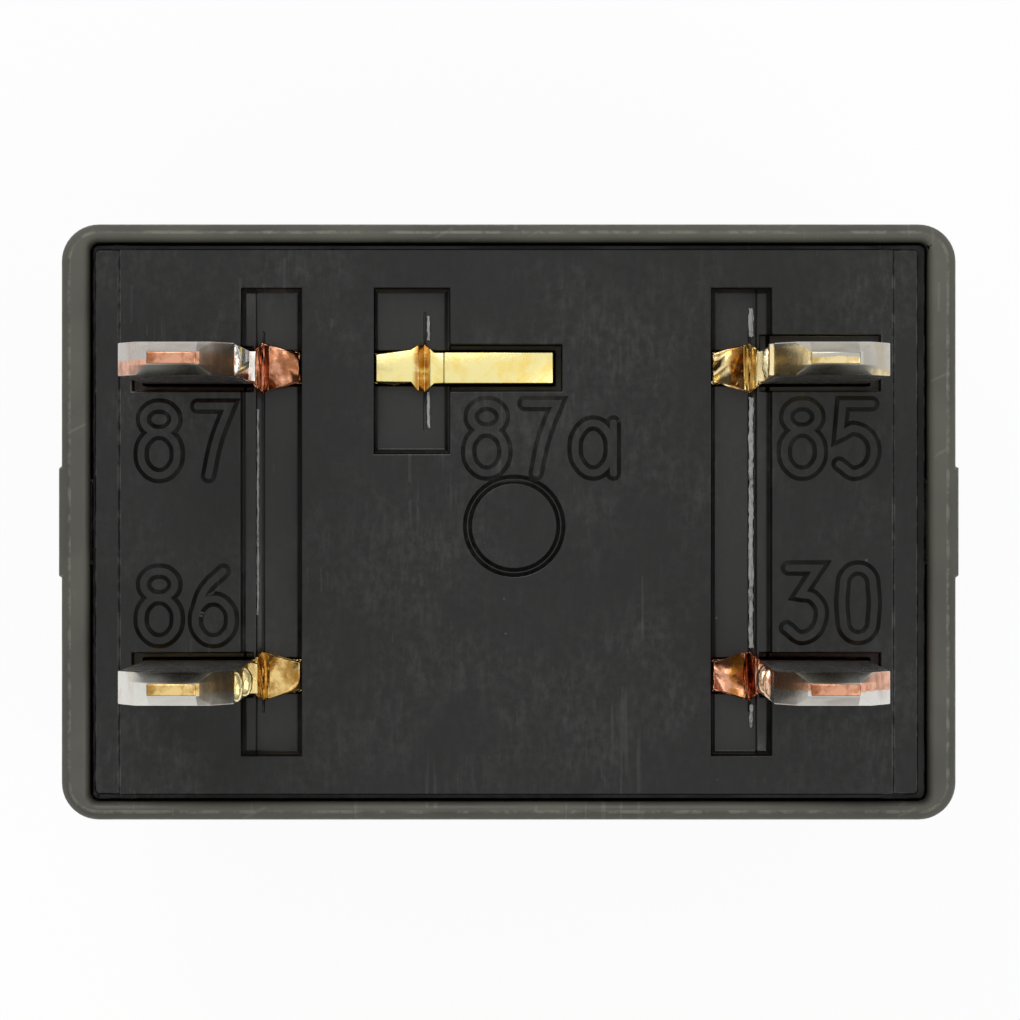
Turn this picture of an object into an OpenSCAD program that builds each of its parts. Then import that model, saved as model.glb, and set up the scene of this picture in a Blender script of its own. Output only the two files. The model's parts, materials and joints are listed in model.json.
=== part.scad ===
// Plug-in relay for vehicles, with four flat blades. The terminal of its rest contact is cut off at the base.
// It stands on the closed end of its cover: the blades point up, along +Z, and the long side lies along X.

/* [Cover] */
// Length of the cover at its rim
housing_l = 22.9; // [22.4:0.1:25]
// Width of the cover at its rim
housing_w = 15.25; // [14.9:0.05:17]
// Height of the cover, from its closed end to its rim
housing_h = 25.2; // [24:0.1:29]
// Wall of the two short sides
side_wall = 1.05; // [0.95:0.01:1.15]
// Wall of the two long sides
face_wall = 0.8; // [0.65:0.05:0.9]
// Wall of the closed end
end_wall = 0.9; // [0.6:0.1:1.6]
// Radius of the four upright corners
corner_r = 0.95; // [0.6:0.05:1.6]
// Radius round the closed end
end_edge_r = 0.6; // [0.3:0.05:0.8]
// How far each side leans in at the closed end, for release from the mould
draft_lean = 0.15; // [0.05:0.05:0.2]
// Depth of the rebate inside the rim, which the base sits in
rebate = 0.35; // [0.25:0.05:0.4]
// Chamfer on the outer edge of the rim
rim_chamfer = 0.2; // [0.1:0.02:0.24]
// Width of the raised pad round each latch window
latch_pad_w = 2.8; // [2.6:0.1:4]
// How far the latch pad stands proud of the side
latch_pad_t = 0.08; // [0.04:0.01:0.15]

/* [Base] */
// Thickness of the base plate
plate_t = 2.2; // [1.9:0.1:2.8]
// How far the outer face of the base lies below the rim
plate_drop = 0.3; // [0.1:0.05:0.6]
// How far the lip of the base, which fills the rebate, lies below its outer face
lip_drop = 0.45; // [0.35:0.05:0.55]
// Gap between the base and the rebate above that lip
plate_gap = 0.2; // [0.1:0.01:0.22]
// How far the base sits off the middle of the cover along X, within that gap
base_x = -0.06; // [-0.1:0.01:0.1]
// Width of each latch lug
lug_w = 2; // [1.4:0.1:2.4]
// Height of each latch lug
lug_h = 1; // [0.8:0.05:1.2]
// Length of the two staking recesses beside the corner blades
recess_l = 12; // [11:0.1:12.6]
// Depth of the staking recesses
recess_d = 0.5; // [0.3:0.05:0.8]
// Depth of the groove that the staking tool leaves
groove_d = 0.07; // [0.04:0.01:0.15]
// Radius of the round mark in the middle of the base
mark_r = 1.3; // [0.8:0.02:1.5]
// Height of the ribs that the yoke seats against
seat_h = 2.05; // [2:0.05:2.6]
// Height of the guides round the terminals, inside the base
guide_h = 1.6; // [1:0.1:1.8]

/* [Blades] */
// Width of each blade
blade_w = 2.8; // [2.4:0.1:3]
// Thickness of the terminal strip
strip_t = 0.8; // [0.6:0.05:0.9]
// Length of each blade above the rim
blade_l = 11.2; // [8:0.1:14]
// From each short side of the cover to the outer edges of the blades
end_inset = 2.15; // [2:0.05:2.3]
// From each long side of the cover to the outer faces of the blades
row_inset = 3.275; // [3.15:0.025:3.4]
// Gap between the shoulders of terminals 87 and 87a
middle_gap = 1.95; // [1.85:0.05:2.15]
// Width of the shoulder beside each corner blade
shoulder_w = 1.2; // [1:0.05:1.3]
// Width of the shoulder beside the middle terminal
middle_shoulder_w = 1.75; // [1.6:0.05:1.8]
// How far the middle terminal stands out of the base where it is cut off
stub_h = 0.05; // [0:0.05:0.25]
// How far each corner of a blade's tip is cut back across its width
tip_cut = 0.82; // [0.5:0.02:0.95]
// Length of the tip's taper
tip_l = 2; // [1.2:0.1:2.6]
// How deep the bevel on each face of the tip goes into the strip
tip_bevel = 0.26; // [0.1:0.02:0.28]
// How far that bevel reaches down the face
tip_bevel_l = 0.85; // [0.5:0.05:1.1]
// Width of the shoulder where the staking tool has spread it
stake_w = 1.25; // [1.1:0.05:1.35]
// Width of the shoulder at its free end
stake_end_w = 0.7; // [0.6:0.02:0.8]

/* [Magnet] */
// Swing of the armature from rest to the pole
swing = 2.8; // [2:0.1:3.2]
// Thickness of the armature
armature_t = 1.2; // [0.9:0.05:1.5]
// Thickness of the yoke
yoke_t = 1.3; // [1:0.05:1.5]
// How much narrower than the winding the yoke's upright leg is, on each side
yoke_inset = 0.15; // [0:0.05:0.6]
// Width of the yoke's foot, between the two rows of terminals
foot_w = 6.6; // [5.6:0.1:6.8]
// Radius of the core
core_r = 2; // [1.6:0.05:2.3]
// Radius of the pole shoe at the armature's end of the core
pole_r = 3.7; // [3.2:0.1:4.2]
// Thickness of the pole shoe
pole_t = 0.9; // [0.6:0.05:1.2]
// Gap between the bobbin and the leg of terminal 87a
coil_gap = 0.5; // [0.4:0.05:0.9]
// How far the bobbin's flanges reach past the winding along Y
flange_lap = 0.45; // [0.3:0.05:0.8]
// Thickness of the bobbin's flanges
flange_t = 0.9; // [0.7:0.05:1.2]
// Wall of the bobbin's tube
tube_wall = 0.5; // [0.35:0.05:0.7]
// From the ends of the flanges to the winding
winding_inset = 0.25; // [0.15:0.05:0.8]
// Diameter of the winding's wire ends
wire_d = 0.2; // [0.14:0.02:0.26]

/* [Contacts] */
// Thickness of the contact leaf
leaf_t = 0.2; // [0.12:0.01:0.25]
// Width of the contact leaf over the armature
leaf_w = 5.6; // [5:0.1:6.4]
// Width of the contact leaf at the contact
leaf_tip_w = 3.2; // [2.8:0.1:3.8]
// Bend radius of the contact leaf round the hinge, inside
leaf_bend_r = 0.75; // [0.6:0.05:0.9]
// Radius of the contact heads
contact_r = 1.2; // [1:0.05:1.4]
// Height of the contact heads
contact_h = 0.45; // [0.38:0.01:0.55]
// Radius of the contact shanks
contact_shank_r = 0.7; // [0.5:0.05:0.85]
// Radius of the rivets in the yoke
yoke_rivet_r = 0.8; // [0.6:0.05:1]
// Radius of the rivets in the armature
armature_rivet_r = 0.6; // [0.45:0.05:0.7]
// Thickness of the rivets' heads
rivet_head_t = 0.3; // [0.2:0.02:0.35]

/* [Resistor] */
// Diameter of the resistor's body
resistor_d = 1.7; // [1.4:0.05:1.75]
// Length of the resistor's body
resistor_l = 3.6; // [3:0.1:4.6]
// Diameter of the resistor's leads
lead_d = 0.4; // [0.3:0.02:0.46]

/* [Hidden] */
$fn = 48;

eps = 0.01;            // overlap of shapes that are joined into one solid
slot_gap = 0.05;       // clearance of a terminal in its slot
bore_gap = 0.02;       // radial clearance of a rivet or core in its hole
seat_gap = 0.05;       // gap between pieces that are stacked on each other
contact_gap = 0.02;    // gap left between contacts that meet
pole_gap = 0.04;       // gap left between the closed armature and the pole
crown_r = 2.5;         // radius of the contacts' domed faces
rivet_tail_t = 0.25;   // thickness of a contact's riveted tail
rivet_tail_r = 1.05;   // radius of a contact's riveted tail
tail_gap = 0.15;       // room between a tail and the closed end
bend_r = 0.35;         // inside bend radius of the folded terminals
arc_steps = 5;         // straight steps in each rounded edge of the cover

// Cover, inside
inner_l = housing_l - 2 * side_wall;
inner_w = housing_w - 2 * face_wall;
inner_r = 0.35;
rebate_r = 0.22;
plate_r = 0.12;
inner_edge_r = 0.1;
end_edge = min(end_edge_r, corner_r - draft_lean - 0.1);
plate_l = inner_l + 2 * (rebate - plate_gap);
plate_w = inner_w + 2 * (rebate - plate_gap);
plate_top = housing_h - plate_drop;
plate_bottom = plate_top - plate_t;
rebate_bottom = plate_bottom - seat_gap;

// Latches, in the middle of the plate's edge
lug_top = plate_top - (plate_t - lug_h) / 2;
lug_reach = housing_l / 2 - seat_gap;
window_gap = 0.1;

// Blades and recesses
pitch_x = housing_l - 2 * end_inset - blade_w;
pitch_y = housing_w - 2 * row_inset - strip_t;
middle_x = base_x - pitch_x / 2 + blade_w + shoulder_w + middle_gap + middle_shoulder_w;
tip_z = housing_h + blade_l;
recess_floor = plate_top - recess_d;
shoulder_top = plate_top - 0.1;
recess_lap = 0.3;      // how far a recess reaches past the blade's edge
ledge_w = 0.38;        // width of the ledge along that side of a recess
ledge_d = recess_d * 0.55;
pocket_d = recess_d + 0.2;
pocket_end_gap = 0.3;  // from a blade's outer edge to the end of its pocket
pocket_in = 0.2;       // from a blade to its pocket's inner side
middle_recess = [1.95, 4.25];
// Centre of each terminal, the side that its shoulder is on, the shoulder's width, how far out the
// staking groove lies from the blade's edge, and the room on the outer side of its pocket
PIN_30 = [base_x + pitch_x / 2, -pitch_y / 2, -1, shoulder_w, 0.25, 0.15];
PIN_85 = [base_x + pitch_x / 2, pitch_y / 2, -1, shoulder_w, 0.25, 0.45];
PIN_86 = [base_x - pitch_x / 2, -pitch_y / 2, 1, shoulder_w, 0.25, 0.15];
PIN_87 = [base_x - pitch_x / 2, pitch_y / 2, 1, shoulder_w, 0.25, 0.15];
PIN_87A = [middle_x, pitch_y / 2, -1, middle_shoulder_w, 0.5, 0.2];
CORNER_PINS = [PIN_30, PIN_85, PIN_86, PIN_87];
PINS = concat(CORNER_PINS, [PIN_87A]);
stop_w = 0.25;         // how far a terminal widens under the plate
stop_h = 0.9;          // height of that wider stretch
guide_end = 0.3;       // how far a terminal's guide reaches past it along X
leg_87a_w = 1.3;       // width of the leg that carries the rest contact

// Yoke stack, built inward from the short side beside the hinge
stack_gap = 0.25;
stack_x = inner_l / 2 - draft_lean - stack_gap;
strap_x = stack_x - rivet_head_t - strip_t;
hinge_x = strap_x - leaf_t;
yoke_in_x = hinge_x - yoke_t;
flange_gap = 0.25;
flange_l = yoke_in_x - flange_gap - low_x(PIN_87A) - coil_gap;
winding_r = flange_l / 2 - winding_inset;
flange_w = 2 * (winding_r + flange_lap);
yoke_w = 2 * (winding_r - yoke_inset);
core_x = yoke_in_x - flange_gap - flange_l / 2;

// Contact stack, built up from the closed end
contact_x = PIN_87[0] + 0.6;
hinge_reach = hinge_x - contact_x;
nc_tab_z = end_wall + tail_gap + rivet_tail_t;
nc_face_z = nc_tab_z + strip_t + contact_h;
// Height of the moving contact's dome centre from the hinge, armature closed
dome_z = crown_r - contact_h - leaf_t - armature_t - pole_gap;
pole_z = nc_face_z + contact_gap + crown_r + hinge_reach * sin(swing) - dome_z * cos(swing);
leaf_top_z = pole_z - pole_gap - armature_t;
no_face_z = leaf_top_z + contact_h + contact_gap;
no_tab_z = no_face_z + contact_h;
// From a strip's outer face to the end of its contact tab
tab_reach = pitch_y / 2 + strip_t / 2 + contact_r + 0.1;

// Leaf's bend round the hinge: its centre lies level with both stretches of the leaf, at rest
bend_x = hinge_x - leaf_bend_r;
leaf_drop = pole_z - leaf_top_z;
bend_z = pole_z - leaf_drop * cos(swing)
    + (leaf_bend_r - (leaf_bend_r + leaf_drop * sin(swing)) * sin(swing)) / cos(swing);
// The same centre, seen with the armature closed
bend_closed_x = hinge_x - leaf_bend_r * cos(swing) + (bend_z - pole_z) * sin(swing);

// Magnet, between the pole and the base
yoke_top = plate_bottom - seat_h;
foot_z = yoke_top - yoke_t;
bobbin_bottom = pole_z + pole_t + seat_gap;
bobbin_top = foot_z - seat_gap;
foot_end_x = core_x - pole_r;
core_stake_r = core_r + 0.55;
core_stake_t = 0.3;
rivet_rise = [4.4, 8.2];   // heights of the yoke rivets above the pole
leaf_leg_h = 10;
strap_w = 4.4;
strap_bottom = pole_z + 2.8;
armature_end_x = core_x - pole_r - 0.9;
armature_tip_w = 5.8;
armature_heel_gap = 0.1;
armature_rivet_x = core_x - 2;
armature_rivet_y = 1.9;

// Coil ends and resistor
joint_r = 0.62;
joint_z = plate_bottom - guide_h - joint_r - 0.1;
coil_tab_w = 1.2;
coil_tab_end = joint_z - joint_r - 0.03;
wire_y = pitch_y / 2 + strip_t / 2 + 0.3;
wire_start_r = winding_r - 0.36;
wire_start = [wire_start_r * cos(48.7), wire_start_r * sin(48.7), bobbin_top - flange_t - 0.9];
notch_w = 0.6;
tape_t = 0.1;
tape_end_gap = 0.6;
resistor_y = -pitch_y / 2 - 1.65;
resistor_z = plate_bottom - resistor_d / 2 - 0.2;
resistor_x = -0.2;
lead_cross_x = low_x(PIN_85) - stop_w - guide_end - 0.2 - lead_d / 2;

// ---- profiles and helpers ----

function side(pin) = pin[2];
function edge_x(pin) = pin[0] + side(pin) * blade_w / 2;          // blade's edge beside the shoulder
function shoulder_x(pin) = edge_x(pin) + side(pin) * pin[3];      // free end of the shoulder
function outer_x(pin) = pin[0] - side(pin) * blade_w / 2;
function groove_x(pin) = edge_x(pin) + side(pin) * pin[4];
function low_x(pin) = min(outer_x(pin), shoulder_x(pin));
function high_x(pin) = max(outer_x(pin), shoulder_x(pin));
function coil_tab_x(pin) = shoulder_x(pin) - side(pin) * coil_tab_w / 2;

// A side wall's outline: a rounded foot at z = 0, then a slight lean out to reach at the height h
function wall_outline(reach, h, lean, edge, top) = concat(
    [for (i = [0:arc_steps]) let (a = -90 + 90 * i / arc_steps)
        [reach - lean - edge + edge * cos(a), edge + edge * sin(a)]],
    top > 0 ? [[reach, h - top], [reach - top, h]] : [[reach, h]]);

function mirrored(points) = [for (i = [len(points) - 1:-1:0]) [-points[i][0], points[i][1]]];

// A moulded block: drafted sides, rounded upright corners and a rounded foot
module moulded_block(l, w, h, r, lean, edge, top) {
    across_l = wall_outline(l / 2, h, lean, edge, top);
    across_w = wall_outline(w / 2, h, lean, edge, top);
    rotate([90, 0, 0])
        linear_extrude(w - 2 * r, center = true)
            polygon(concat(across_l, mirrored(across_l)));
    rotate([90, 0, 90])
        linear_extrude(l - 2 * r, center = true)
            polygon(concat(across_w, mirrored(across_w)));
    for (sx = [-1, 1], sy = [-1, 1])
        translate([sx * (l / 2 - r), sy * (w / 2 - r), 0])
            rotate_extrude()
                polygon(concat([[0, 0]], wall_outline(r, h, lean, edge, top), [[0, h]]));
}

module rounded_plate(l, w, t, r) {
    linear_extrude(t) {
        square([l, w - 2 * r], center = true);
        square([l - 2 * r, w], center = true);
        for (sx = [-1, 1], sy = [-1, 1])
            translate([sx * (l / 2 - r), sy * (w / 2 - r)])
                circle(r);
    }
}

// A box from its two opposite corners
module span(low, high) {
    translate(low)
        cube(high - low);
}

// Section of a strip folded to a right angle, with its outer corner at the origin
module folded_section(up, out, t, r) {
    translate([0, t + r])
        square([t, up - t - r]);
    translate([t + r, 0])
        square([out - t - r, t]);
    intersection() {
        translate([t + r, t + r])
            difference() {
                circle(t + r);
                circle(r);
            }
        square([t + r, t + r]);
    }
}

function unit(v) = v / norm(v);
function heading(path, i) =
    i == 0 ? unit(path[1] - path[0]) :
    i == len(path) - 1 ? unit(path[i] - path[i - 1]) :
    unit(unit(path[i] - path[i - 1]) + unit(path[i + 1] - path[i]));
// A sideways direction carried along the path, so that a tube doesn't twist
function sideways(path, n, i = 0) = i == len(path) ? [] :
    let (t = heading(path, i), s = unit(n - (n * t) * t)) concat([s], sideways(path, s, i + 1));
// Each inner corner of the path becomes a short bend
function eased(path, r) = [for (i = [0:len(path) - 1])
    if (i == 0 || i == len(path) - 1) path[i]
    else let (back = unit(path[i - 1] - path[i]), on = unit(path[i + 1] - path[i]))
        for (k = [0:2]) path[i] + r * (k == 0 ? back : k == 2 ? on : 0.3 * (back + on))];

module wire(corners, d, normal, sides = 8) {
    path = eased(corners, d);
    across = sideways(path, normal);
    rings = [for (i = [0:len(path) - 1]) let (s = across[i], u = cross(heading(path, i), s))
        for (k = [0:sides - 1]) path[i] + d / 2 * (cos(360 * k / sides) * s + sin(360 * k / sides) * u)];
    last = (len(path) - 1) * sides;
    skin = [for (i = [0:len(path) - 2], k = [0:sides - 1]) let (n = (k + 1) % sides)
        [i * sides + k, (i + 1) * sides + k, (i + 1) * sides + n, i * sides + n]];
    polyhedron(rings, concat([[for (k = [0:sides - 1]) k]], skin,
        [[for (k = [sides - 1:-1:0]) last + k]]));
}

// A domed contact head, standing on z = 0
module contact_head() {
    intersection() {
        cylinder(h = contact_h, r = contact_r);
        translate([0, 0, contact_h - crown_r])
            sphere(crown_r);
    }
}

// ---- cover ----

module cover() {
    color([0.33, 0.33, 0.29])
        difference() {
            union() {
                moulded_block(housing_l, housing_w, housing_h, corner_r, draft_lean, end_edge, rim_chamfer);
                for (s = [-1, 1])
                    latch_pad(s);
            }
            translate([0, 0, end_wall])
                moulded_block(inner_l, inner_w, housing_h, inner_r, draft_lean, inner_edge_r, 0);
            translate([0, 0, rebate_bottom])
                rounded_plate(inner_l + 2 * rebate, inner_w + 2 * rebate, housing_h, rebate_r);
            for (s = [-1, 1])
                latch_window(s);
        }
}

// Pad round a latch window, from the rim down past the window
module latch_pad(s) {
    pad_top = housing_h - rim_chamfer;
    pad_bottom = lug_top - lug_h - 1.6;
    pad_x = housing_l / 2 + latch_pad_t;
    rotate([90, 0, 0])
        linear_extrude(latch_pad_w, center = true)
            polygon([[s * (pad_x - side_wall / 2), pad_bottom], [s * (pad_x - latch_pad_t), pad_bottom],
                     [s * pad_x, pad_bottom + latch_pad_t], [s * pad_x, pad_top - latch_pad_t],
                     [s * (pad_x - latch_pad_t), pad_top], [s * (pad_x - side_wall / 2), pad_top]]);
}

module latch_window(s) {
    wide = lug_w / 2 + window_gap;
    translate([s * housing_l / 2, 0, lug_top - lug_h - window_gap])
        translate([-2, -wide, 0])
            cube([4, 2 * wide, lug_h + 2 * window_gap]);
}

// ---- base ----

module base() {
    color([0.05, 0.05, 0.05])
        difference() {
            union() {
                translate([base_x, 0, plate_bottom])
                    rounded_plate(plate_l, plate_w, plate_t, plate_r);
                translate([0, 0, plate_bottom])
                    rounded_plate(inner_l + 2 * (rebate - seat_gap), inner_w + 2 * (rebate - seat_gap),
                                  plate_t - lip_drop, rebate_r - seat_gap);
                for (s = [-1, 1])
                    latch_lug(s);
                for (pin = PINS)
                    terminal_guide(pin);
                for (s = [-1, 1])
                    yoke_seat(s);
            }
            for (pin = CORNER_PINS)
                corner_pocket(pin);
            for (s = [-1, 1])
                corner_recess(s);
            middle_recess_cut();
            for (pin = PINS)
                terminal_slot(pin);
            round_mark();
            edge_steps();
        }
}

// Wedge on the plate's edge: it slopes towards the inside of the cover and catches under the window
module latch_lug(s) {
    rotate([90, 0, 0])
        linear_extrude(lug_w, center = true)
            polygon([[s * (plate_l / 2 - 0.5), lug_top - lug_h], [s * plate_l / 2, lug_top - lug_h],
                     [s * lug_reach, lug_top - 0.25], [s * lug_reach, lug_top],
                     [s * (plate_l / 2 - 0.5), lug_top]]);
}

module terminal_guide(pin) {
    wall = 0.65;
    low = pin == PIN_87A ? low_x(pin) - leg_87a_w : low_x(pin) - stop_w;
    // the guide of terminal 30 stops short of the bend
    high = pin == PIN_30 ? strap_x - bend_r - guide_end : high_x(pin) + stop_w + guide_end;
    span([max(low - guide_end, -inner_l / 2 + guide_end), pin[1] - strip_t / 2 - wall, plate_bottom - guide_h],
         [min(high, inner_l / 2 - guide_end), pin[1] + strip_t / 2 + wall, plate_bottom + eps]);
}

// Ribs that the yoke's foot seats against, on either side of the riveted core and the resistor's lead
module yoke_seat(s) {
    x_low = s < 0 ? foot_end_x + 0.1 : lead_cross_x + lead_d / 2 + 0.2;
    x_high = s < 0 ? core_x - core_stake_r - 0.15 : yoke_in_x - bend_r - 0.1;
    span([x_low, -foot_w / 3, yoke_top + seat_gap], [x_high, foot_w / 3, plate_bottom + eps]);
}

// Slot through the plate, and the wider way for the terminal's inner stretch
module terminal_slot(pin) {
    y_low = pin[1] - strip_t / 2 - slot_gap;
    y_high = pin[1] + strip_t / 2 + slot_gap;
    span([low_x(pin) - slot_gap, y_low, plate_bottom - eps],
         [high_x(pin) + slot_gap, y_high, plate_top + 1]);
    inner_low = pin == PIN_87A ? low_x(pin) - leg_87a_w : low_x(pin) - stop_w;
    inner_high = pin == PIN_30 ? inner_l / 2 + 1 : high_x(pin) + stop_w;
    span([inner_low - slot_gap, y_low, plate_bottom - guide_h - 1],
         [inner_high + slot_gap, y_high, plate_bottom + seat_gap]);
}

// Pocket round the foot of a corner blade, deeper than the recess
module corner_pocket(pin) {
    s = side(pin);
    row = sign(pin[1]);
    x_in = edge_x(pin);
    x_out = outer_x(pin) - s * pocket_end_gap;
    y_in = pin[1] - row * (strip_t / 2 + pocket_in);
    y_out = pin[1] + row * (strip_t / 2 + pin[5]);
    span([min(x_in, x_out), min(y_in, y_out), plate_top - pocket_d],
         [max(x_in, x_out), max(y_in, y_out), plate_top + 1]);
}

// Long recess across both rows, with a ledge beside the blades and the groove that the staking tool leaves
module corner_recess(s) {
    pin = s > 0 ? PIN_85 : PIN_87;
    x_a = shoulder_x(pin) - s * slot_gap;
    x_b = edge_x(pin) + s * recess_lap;
    x_c = x_b - s * ledge_w;
    span([min(x_a, x_c), -recess_l / 2, recess_floor], [max(x_a, x_c), recess_l / 2, plate_top + 1]);
    span([min(x_a, x_b), -recess_l / 2, plate_top - ledge_d], [max(x_a, x_b), recess_l / 2, plate_top + 1]);
    staking_groove(groove_x(pin), 0, recess_l - 2.2);
}

module middle_recess_cut() {
    pin = PIN_87A;
    x_low = shoulder_x(pin) - slot_gap;
    y_mid = recess_l / 2 - middle_recess[1] / 2;
    span([x_low, y_mid - middle_recess[1] / 2, recess_floor],
         [x_low + middle_recess[0], y_mid + middle_recess[1] / 2, plate_top + 1]);
    span([x_low + middle_recess[0] - eps, pin[1] - strip_t / 2 - pin[5], plate_top - pocket_d],
         [outer_x(pin) + 0.23, pin[1] + strip_t / 2 + pin[5], plate_top + 1]);
    staking_groove(groove_x(pin), y_mid, middle_recess[1] - 1.2);
}

module staking_groove(x, y, l) {
    translate([x, y, recess_floor])
        rotate([90, 0, 0])
            linear_extrude(l, center = true)
                polygon([[-groove_d, eps], [0, -groove_d], [groove_d, eps]]);
}

module round_mark() {
    ring_w = 0.2;
    translate([base_x + 0.2, -0.1, plate_top - 0.14])
        difference() {
            cylinder(h = 1, r = mark_r);
            translate([0, 0, -eps])
                cylinder(h = 2, r = mark_r - ring_w);
        }
}

// Shallow step along each short edge
module edge_steps() {
    step_w = 0.62;
    for (s = [-1, 1])
        translate([base_x, 0, 0])
            span([s > 0 ? plate_l / 2 - step_w : -plate_l / 2 - 1, -plate_w, plate_top - 0.06],
                 [s > 0 ? plate_l / 2 + 1 : -plate_l / 2 + step_w, plate_w, plate_top + 1]);
}

// ---- terminals ----

// Terminal from the stretch under the plate up to its end, with its staked shoulder
module blade(pin, end_z) {
    root = plate_bottom - stop_h / 2;
    translate([pin[0], pin[1], 0])
        tapered_strip(root, end_z);
    shoulder_in_plate(pin);
    staked_shoulder(pin);
}

// Strip whose end is cut back at both corners and bevelled on both faces
module tapered_strip(root, end_z) {
    difference() {
        translate([0, 0, root])
            rotate([90, 0, 0])
                linear_extrude(strip_t, center = true)
                    polygon([[-blade_w / 2, 0], [blade_w / 2, 0], [blade_w / 2, end_z - root - tip_l],
                             [blade_w / 2 - tip_cut, end_z - root], [-blade_w / 2 + tip_cut, end_z - root],
                             [-blade_w / 2, end_z - root - tip_l]]);
        for (sy = [-1, 1])
            translate([0, sy * strip_t / 2, end_z])
                rotate([90, 0, 90])
                    linear_extrude(2 * blade_w, center = true)
                        polygon([[0, -tip_bevel_l], [-sy * tip_bevel, 0], [-sy * tip_bevel, 1],
                                 [sy, 1], [sy, -tip_bevel_l]]);
    }
}

module shoulder_in_plate(pin) {
    span([min(pin[0], shoulder_x(pin)), pin[1] - strip_t / 2, plate_bottom - stop_h / 2],
         [max(pin[0], shoulder_x(pin)), pin[1] + strip_t / 2, recess_floor]);
}

// The shoulder above the recess floor, spread sideways where the tool has pressed a notch into it
module staked_shoulder(pin) {
    s = side(pin);
    t = strip_t / 2;
    w = pin[3];
    difference() {
        translate([edge_x(pin), pin[1], recess_floor - eps])
            linear_extrude(shoulder_top - recess_floor + eps)
                polygon([[-s * 0.3, -t], [s * (pin[4] - 0.25), -t], [s * pin[4], -stake_w / 2],
                         [s * w, -stake_end_w / 2], [s * w, stake_end_w / 2], [s * pin[4], stake_w / 2],
                         [s * (pin[4] - 0.25), t], [-s * 0.3, t]]);
        // the part under the spread rests on the recess floor, so nothing of it goes below
        for (k = [-1, 1])
            translate([edge_x(pin) - 3, k > 0 ? pin[1] + t : pin[1] - t - 1, recess_floor - 1])
                cube([6, 1, 1]);
        translate([groove_x(pin), pin[1], shoulder_top])
            rotate([90, 0, 0])
                linear_extrude(2 * stake_w, center = true)
                    polygon([[-0.16, eps], [0, -0.22], [0.16, eps]]);
    }
}

// Stretch under the plate that the terminal is stopped by
module stop_bar(pin, low, high) {
    span([low, pin[1] - strip_t / 2, plate_bottom - stop_h], [high, pin[1] + strip_t / 2, plate_bottom]);
}

module terminal_87() {
    color([0.78, 0.45, 0.3]) {
        blade(PIN_87, tip_z);
        stop_bar(PIN_87, low_x(PIN_87) - stop_w, high_x(PIN_87) + stop_w);
        difference() {
            contact_strip(PIN_87, low_x(PIN_87), high_x(PIN_87), no_tab_z);
            contact_hole(no_tab_z);
        }
    }
}

module terminal_87a() {
    low = low_x(PIN_87A) - leg_87a_w;
    color([0.85, 0.68, 0.3]) {
        // cut off just above the base, so it has no blade
        span([edge_x(PIN_87A), PIN_87A[1] - strip_t / 2, plate_bottom - stop_h],
             [outer_x(PIN_87A), PIN_87A[1] + strip_t / 2, plate_top + stub_h]);
        shoulder_in_plate(PIN_87A);
        staked_shoulder(PIN_87A);
        span([low, PIN_87A[1] - strip_t / 2, plate_bottom - guide_h],
             [high_x(PIN_87A), PIN_87A[1] + strip_t / 2, plate_bottom]);
        difference() {
            union() {
                contact_strip(PIN_87A, low, low + leg_87a_w, nc_tab_z);
                span([contact_x - 1.7, PIN_87A[1] + strip_t / 2 - tab_reach, nc_tab_z],
                     [low + eps, PIN_87A[1] - strip_t / 2 - bend_r, nc_tab_z + strip_t]);
            }
            contact_hole(nc_tab_z);
        }
    }
}

// Upright strip folded inwards at its far end, where the contact is riveted in
module contact_strip(pin, low, high, tab_z) {
    translate([low, pin[1] + strip_t / 2, tab_z])
        rotate([90, 0, 90])
            linear_extrude(high - low)
                mirror([1, 0])
                    folded_section(plate_bottom - tab_z + eps, tab_reach, strip_t, bend_r);
}

module contact_hole(tab_z) {
    translate([contact_x, 0, tab_z - 1])
        cylinder(h = strip_t + 2, r = contact_shank_r + bore_gap);
}

module coil_terminal(pin) {
    blade(pin, tip_z);
    stop_bar(pin, low_x(pin) - stop_w, high_x(pin) + stop_w);
    span([coil_tab_x(pin) - coil_tab_w / 2, pin[1] - strip_t / 2, coil_tab_end],
         [coil_tab_x(pin) + coil_tab_w / 2, pin[1] + strip_t / 2, plate_bottom]);
}

module terminal_85() {
    color([0.85, 0.68, 0.3])
        coil_terminal(PIN_85);
}

module terminal_86() {
    color([0.85, 0.68, 0.3])
        coil_terminal(PIN_86);
}

// The strip turns a corner round the yoke and runs down it as a strap, riveted with the leaf
module terminal_30() {
    arm_bottom = plate_bottom - guide_h;
    y_out = PIN_30[1] - strip_t / 2;
    color([0.78, 0.45, 0.3]) {
        blade(PIN_30, tip_z);
        // folded round an upright line: along X in the base, then along Y on the yoke
        translate([strap_x + strip_t, y_out, arm_bottom])
            linear_extrude(plate_bottom - arm_bottom)
                mirror([1, 0])
                    folded_section(strap_w / 2 - y_out, strap_x + strip_t - low_x(PIN_30) + stop_w, strip_t, bend_r);
        difference() {
            span([strap_x, -strap_w / 2, strap_bottom], [strap_x + strip_t, strap_w / 2, arm_bottom + eps]);
            yoke_rivet_holes();
        }
    }
}

module yoke_rivet_holes() {
    for (rise = rivet_rise)
        translate([yoke_in_x - 1, 0, pole_z + rise])
            rotate([0, 90, 0])
                cylinder(h = 5, r = yoke_rivet_r + bore_gap);
}

// ---- contacts ----

module fixed_contact(tab_z) {
    contact_head_z = tab_z + strip_t;
    translate([contact_x, 0, contact_head_z])
        contact_head();
    translate([contact_x, 0, tab_z - eps])
        cylinder(h = strip_t + 2 * eps, r = contact_shank_r);
    translate([contact_x, 0, tab_z - rivet_tail_t])
        cylinder(h = rivet_tail_t, r = rivet_tail_r);
}

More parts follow.
